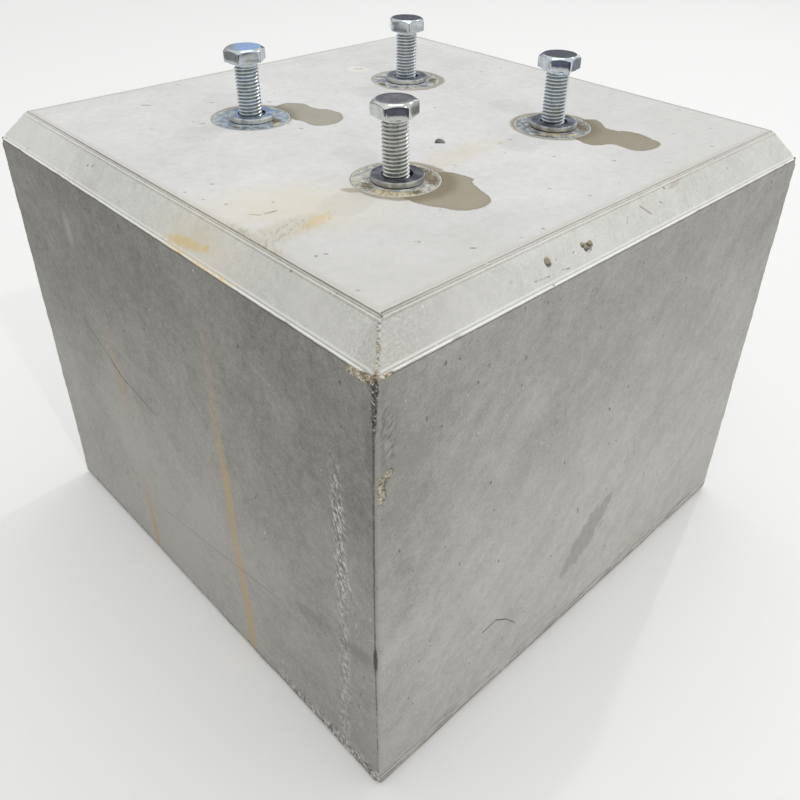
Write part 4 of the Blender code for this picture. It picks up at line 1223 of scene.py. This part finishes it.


# How far each stands off its washer, its turn and lean in degrees, tint, warm tint, painted shade on the
# flats
BOLTS = {
    "front": (25.6, -6.4, 1.5, paint(232, 234, 230), paint(190, 184, 170), 0.0),
    "left": (26.0, 9.6, 1.0, paint(216, 230, 244), paint(184, 186, 184), 0.08),
    "right": (26.4, -20.0, 0.0, paint(218, 230, 242), paint(184, 182, 170), 0.0),
    "back": (25.6, 23.8, 0.0, paint(222, 232, 242), paint(196, 192, 178), 0.2),
}
bolt_points, bolt_faces = threaded_bolt()
for name, (stand_off, turn, lean, skin_tint, warm, flats) in BOLTS.items():
    place = (Matrix.Translation((*PLACES[name], HEAD))
             @ Matrix.Rotation(math.radians(lean), 4, (-1.0, -1.0, 0.0))
             @ Matrix.Translation((0, 0, WASHER_TOP + stand_off))
             @ Matrix.Rotation(math.radians(turn), 4, "Z"))
    move = np.array(place)
    bolt = surface("set_screw_" + name, bolt_points @ move[:3, :3].T + move[:3, 3], bolt_faces)
    shell = bpy.data.meshes.new("set_screw_" + name)
    bm = bmesh.new()
    bm.from_mesh(bolt.data)
    bmesh.ops.remove_doubles(bm, verts=bm.verts, dist=SAME_PLACE)
    bmesh.ops.dissolve_degenerate(bm, edges=bm.edges, dist=NO_LENGTH)
    bm.to_mesh(shell)
    bm.free()
    bolt.data = shell
    shell.shade_smooth()
    shell.set_sharp_from_angle(angle=math.radians(26))
    shell.materials.append(bright_zinc(name, lean, skin_tint, warm, flats))
    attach(bolt, "root")
    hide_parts("bolt_" + name)

# The floor, the lamps and the camera. A plain pale floor, one wide soft lamp overhead with a small
# one on either side of it, and cards and slats round the block that only the bright metal mirrors.
floor_mesh = bpy.data.meshes.new("floor")
floor_mesh.from_pydata([(-6, -6, 0), (6, -6, 0), (6, 6, 0), (-6, 6, 0)], [], [(0, 1, 2, 3)])
floor = bpy.data.objects.new("floor", floor_mesh)
bpy.context.scene.collection.objects.link(floor)
floor.location.z = -0.0002
floor_glow = {"Emission Color": (1, 1, 1, 1), "Emission Strength": 0.05}
floor_mesh.materials.append(Finish("pale_floor").finish(paint(250, 250, 250), 0.9, **floor_glow))
CARD_STRIPS = 12
SLAT_REACH = 11           # half a slat's width, in millimetres


def mirrored(name, corners, faces, shade, glow):
    """A surface that only shiny metal sees: painted, or shining in its shade where it glows."""
    mesh = bpy.data.meshes.new(name)
    mesh.from_pydata(corners, [], faces)
    lit = {"Emission Color": shade, "Emission Strength": glow}
    mesh.materials.append(Finish(name).finish(paint(0, 0, 0) if glow else shade, 0.9, **lit))
    screen = bpy.data.objects.new(name, mesh)
    bpy.context.scene.collection.objects.link(screen)
    screen.visible_camera = screen.visible_diffuse = screen.visible_shadow = False


def card(name, start, end, radius, low, high, shade, glow=0.0):
    """An upright card curved round the block, from one bearing to another in degrees."""
    bearings = np.radians(np.linspace(start, end, CARD_STRIPS + 1))
    foot = [(radius * math.cos(b), radius * math.sin(b), low) for b in bearings]
    crest = [(x, y, high) for x, y, z in foot]
    strips = [(i, i + 1, i + CARD_STRIPS + 2, i + CARD_STRIPS + 1) for i in range(CARD_STRIPS)]
    mirrored(name, foot + crest, strips, shade, glow)


card("brown_card", 118, 170, 0.62, 0.0, 0.235, paint(150, 148, 146))
card("navy_card", 205, 258, 0.62, 0.0, 0.235, paint(40, 43, 62))
card("grey_card", 325, 385, 0.62, 0.0, 0.235, paint(160, 162, 163))
card("window_card", 6, 24, 0.95, 0.34, 0.8, paint(255, 255, 255), 1.0)
card("sky_card", 52.5, 63, 0.95, 0.33, 0.62, paint(165, 190, 228), 1.0)
card("dusk_card", 28, 51.5, 0.95, 0.25, 0.62, paint(114, 112, 124))


def slat(name, middle, bearing, low, high, shade):
    """A narrow upright card near a bolt, square to the bearing, which its one flat mirrors."""
    turn = math.radians(bearing + 90)
    along = np.array([math.cos(turn), math.sin(turn)]) * SLAT_REACH
    first, second = np.array(middle) - along, np.array(middle) + along
    corners = [(*first, low), (*second, low), (*second, high), (*first, high)]
    mirrored(name, np.array(corners) * 0.001, [(0, 1, 2, 3)], shade, 1.0)


slat("front_slat_low", (-90.8, -116.8), 240, 258.9, 262.3, paint(52, 54, 84))
slat("front_slat_high", (-90.8, -116.8), 240, 262.8, 269.0, paint(88, 91, 102))
slat("right_slat_low", (4.9, -105.0), 224, 264.4, 266.0, paint(62, 62, 80))
slat("right_slat_mid", (4.9, -105.0), 224, 266.4, 269.9, paint(66, 68, 92))
slat("right_slat_high", (4.9, -105.0), 224, 270.2, 273.0, paint(110, 112, 120))


def standing(right, up, away, place):
    """The matrix of a lamp or a camera with these three axes at this place."""
    axes = np.column_stack([right, up, away, place])
    return Matrix([[*row] for row in np.vstack([axes, [0, 0, 0, 1]])])


def lamp(name, place, aim, size, power):
    """A round lamp that faces its aim: its own axis points from the aim back to its place."""
    light = bpy.data.lights.new(name, "AREA")
    light.shape, light.size, light.energy = "DISK", size, power
    holder = bpy.data.objects.new(name, light)
    bpy.context.scene.collection.objects.link(holder)
    way = np.array(place) - np.array(aim)
    away = way / np.linalg.norm(way)
    side = np.cross([0, 0, 1.0] if abs(away[2]) < 0.98 else [0, 1.0, 0], away)
    side /= np.linalg.norm(side)
    holder.matrix_world = standing(side, np.cross(away, side), away, place)


lamp("overhead", (0.25, 0.22, 1.9), (0, 0, 0.2), 0.9, 3.2)
lamp("behind_right", (1.75, 0.3, 2.0), (0, 0, 0.25), 0.06, 5.6)
lamp("front_right", (-0.45, -2.0, 2.1), (0, 0, 0.25), 0.06, 6.0)

world = bpy.data.worlds.new("studio")
bpy.context.scene.world = world
world.use_nodes = True
sky = Finish("sky", world.node_tree, "Generated")
east, north, height = (sky.add("ShaderNodeSeparateXYZ", {}, (sky.here,), axis) for axis in range(3))
raised = height.step(0.0, 0.75)
towards_right = (east * 0.35 - north * 0.94 + 0.2).step(-0.9, 1.0) * (1 - raised)
light = raised * 0.54 + 0.26 + towards_right * 0.3
white = sky.add("ShaderNodeLightPath", {}, {}, "Is Camera Ray")
tinted = sky.mix(raised, (0.96, 0.98, 1.0, 1), (1.0, 1.0, 0.985, 1))
background = world.node_tree.nodes["Background"]
world.node_tree.links.new(sky.mix(white, tinted, (1.0, 1.0, 1.0, 1)).socket, background.inputs["Color"])
world.node_tree.links.new(light.most(white).socket, background.inputs["Strength"])

# The camera's bearing, how far it looks down and how far it is rolled, and where it stands in metres
YAW, PITCH_DOWN, ROLL = (math.radians(a) for a in (45.069, 33.2034, 1.4634))
CAMERA_PLACE = [-0.28869, -0.30707, 0.38774]
ahead = np.array([math.cos(PITCH_DOWN) * math.cos(YAW), math.cos(PITCH_DOWN) * math.sin(YAW),
                  -math.sin(PITCH_DOWN)])
level_right = np.array([math.sin(YAW), -math.cos(YAW), 0.0])
level_up = np.cross(level_right, ahead)
right = math.cos(ROLL) * level_right + math.sin(ROLL) * level_up
up = math.cos(ROLL) * level_up - math.sin(ROLL) * level_right
lens = bpy.data.cameras.new("camera")
lens.sensor_width = 36.0
lens.lens = 36.983
lens.shift_x = -0.0218
lens.shift_y = -0.0714
lens.clip_start = 0.01
camera = bpy.data.objects.new("camera", lens)
bpy.context.scene.collection.objects.link(camera)
camera.matrix_world = standing(right, up, -ahead, CAMERA_PLACE)
bpy.context.scene.camera = camera
bpy.context.scene.view_settings.view_transform = "Standard"
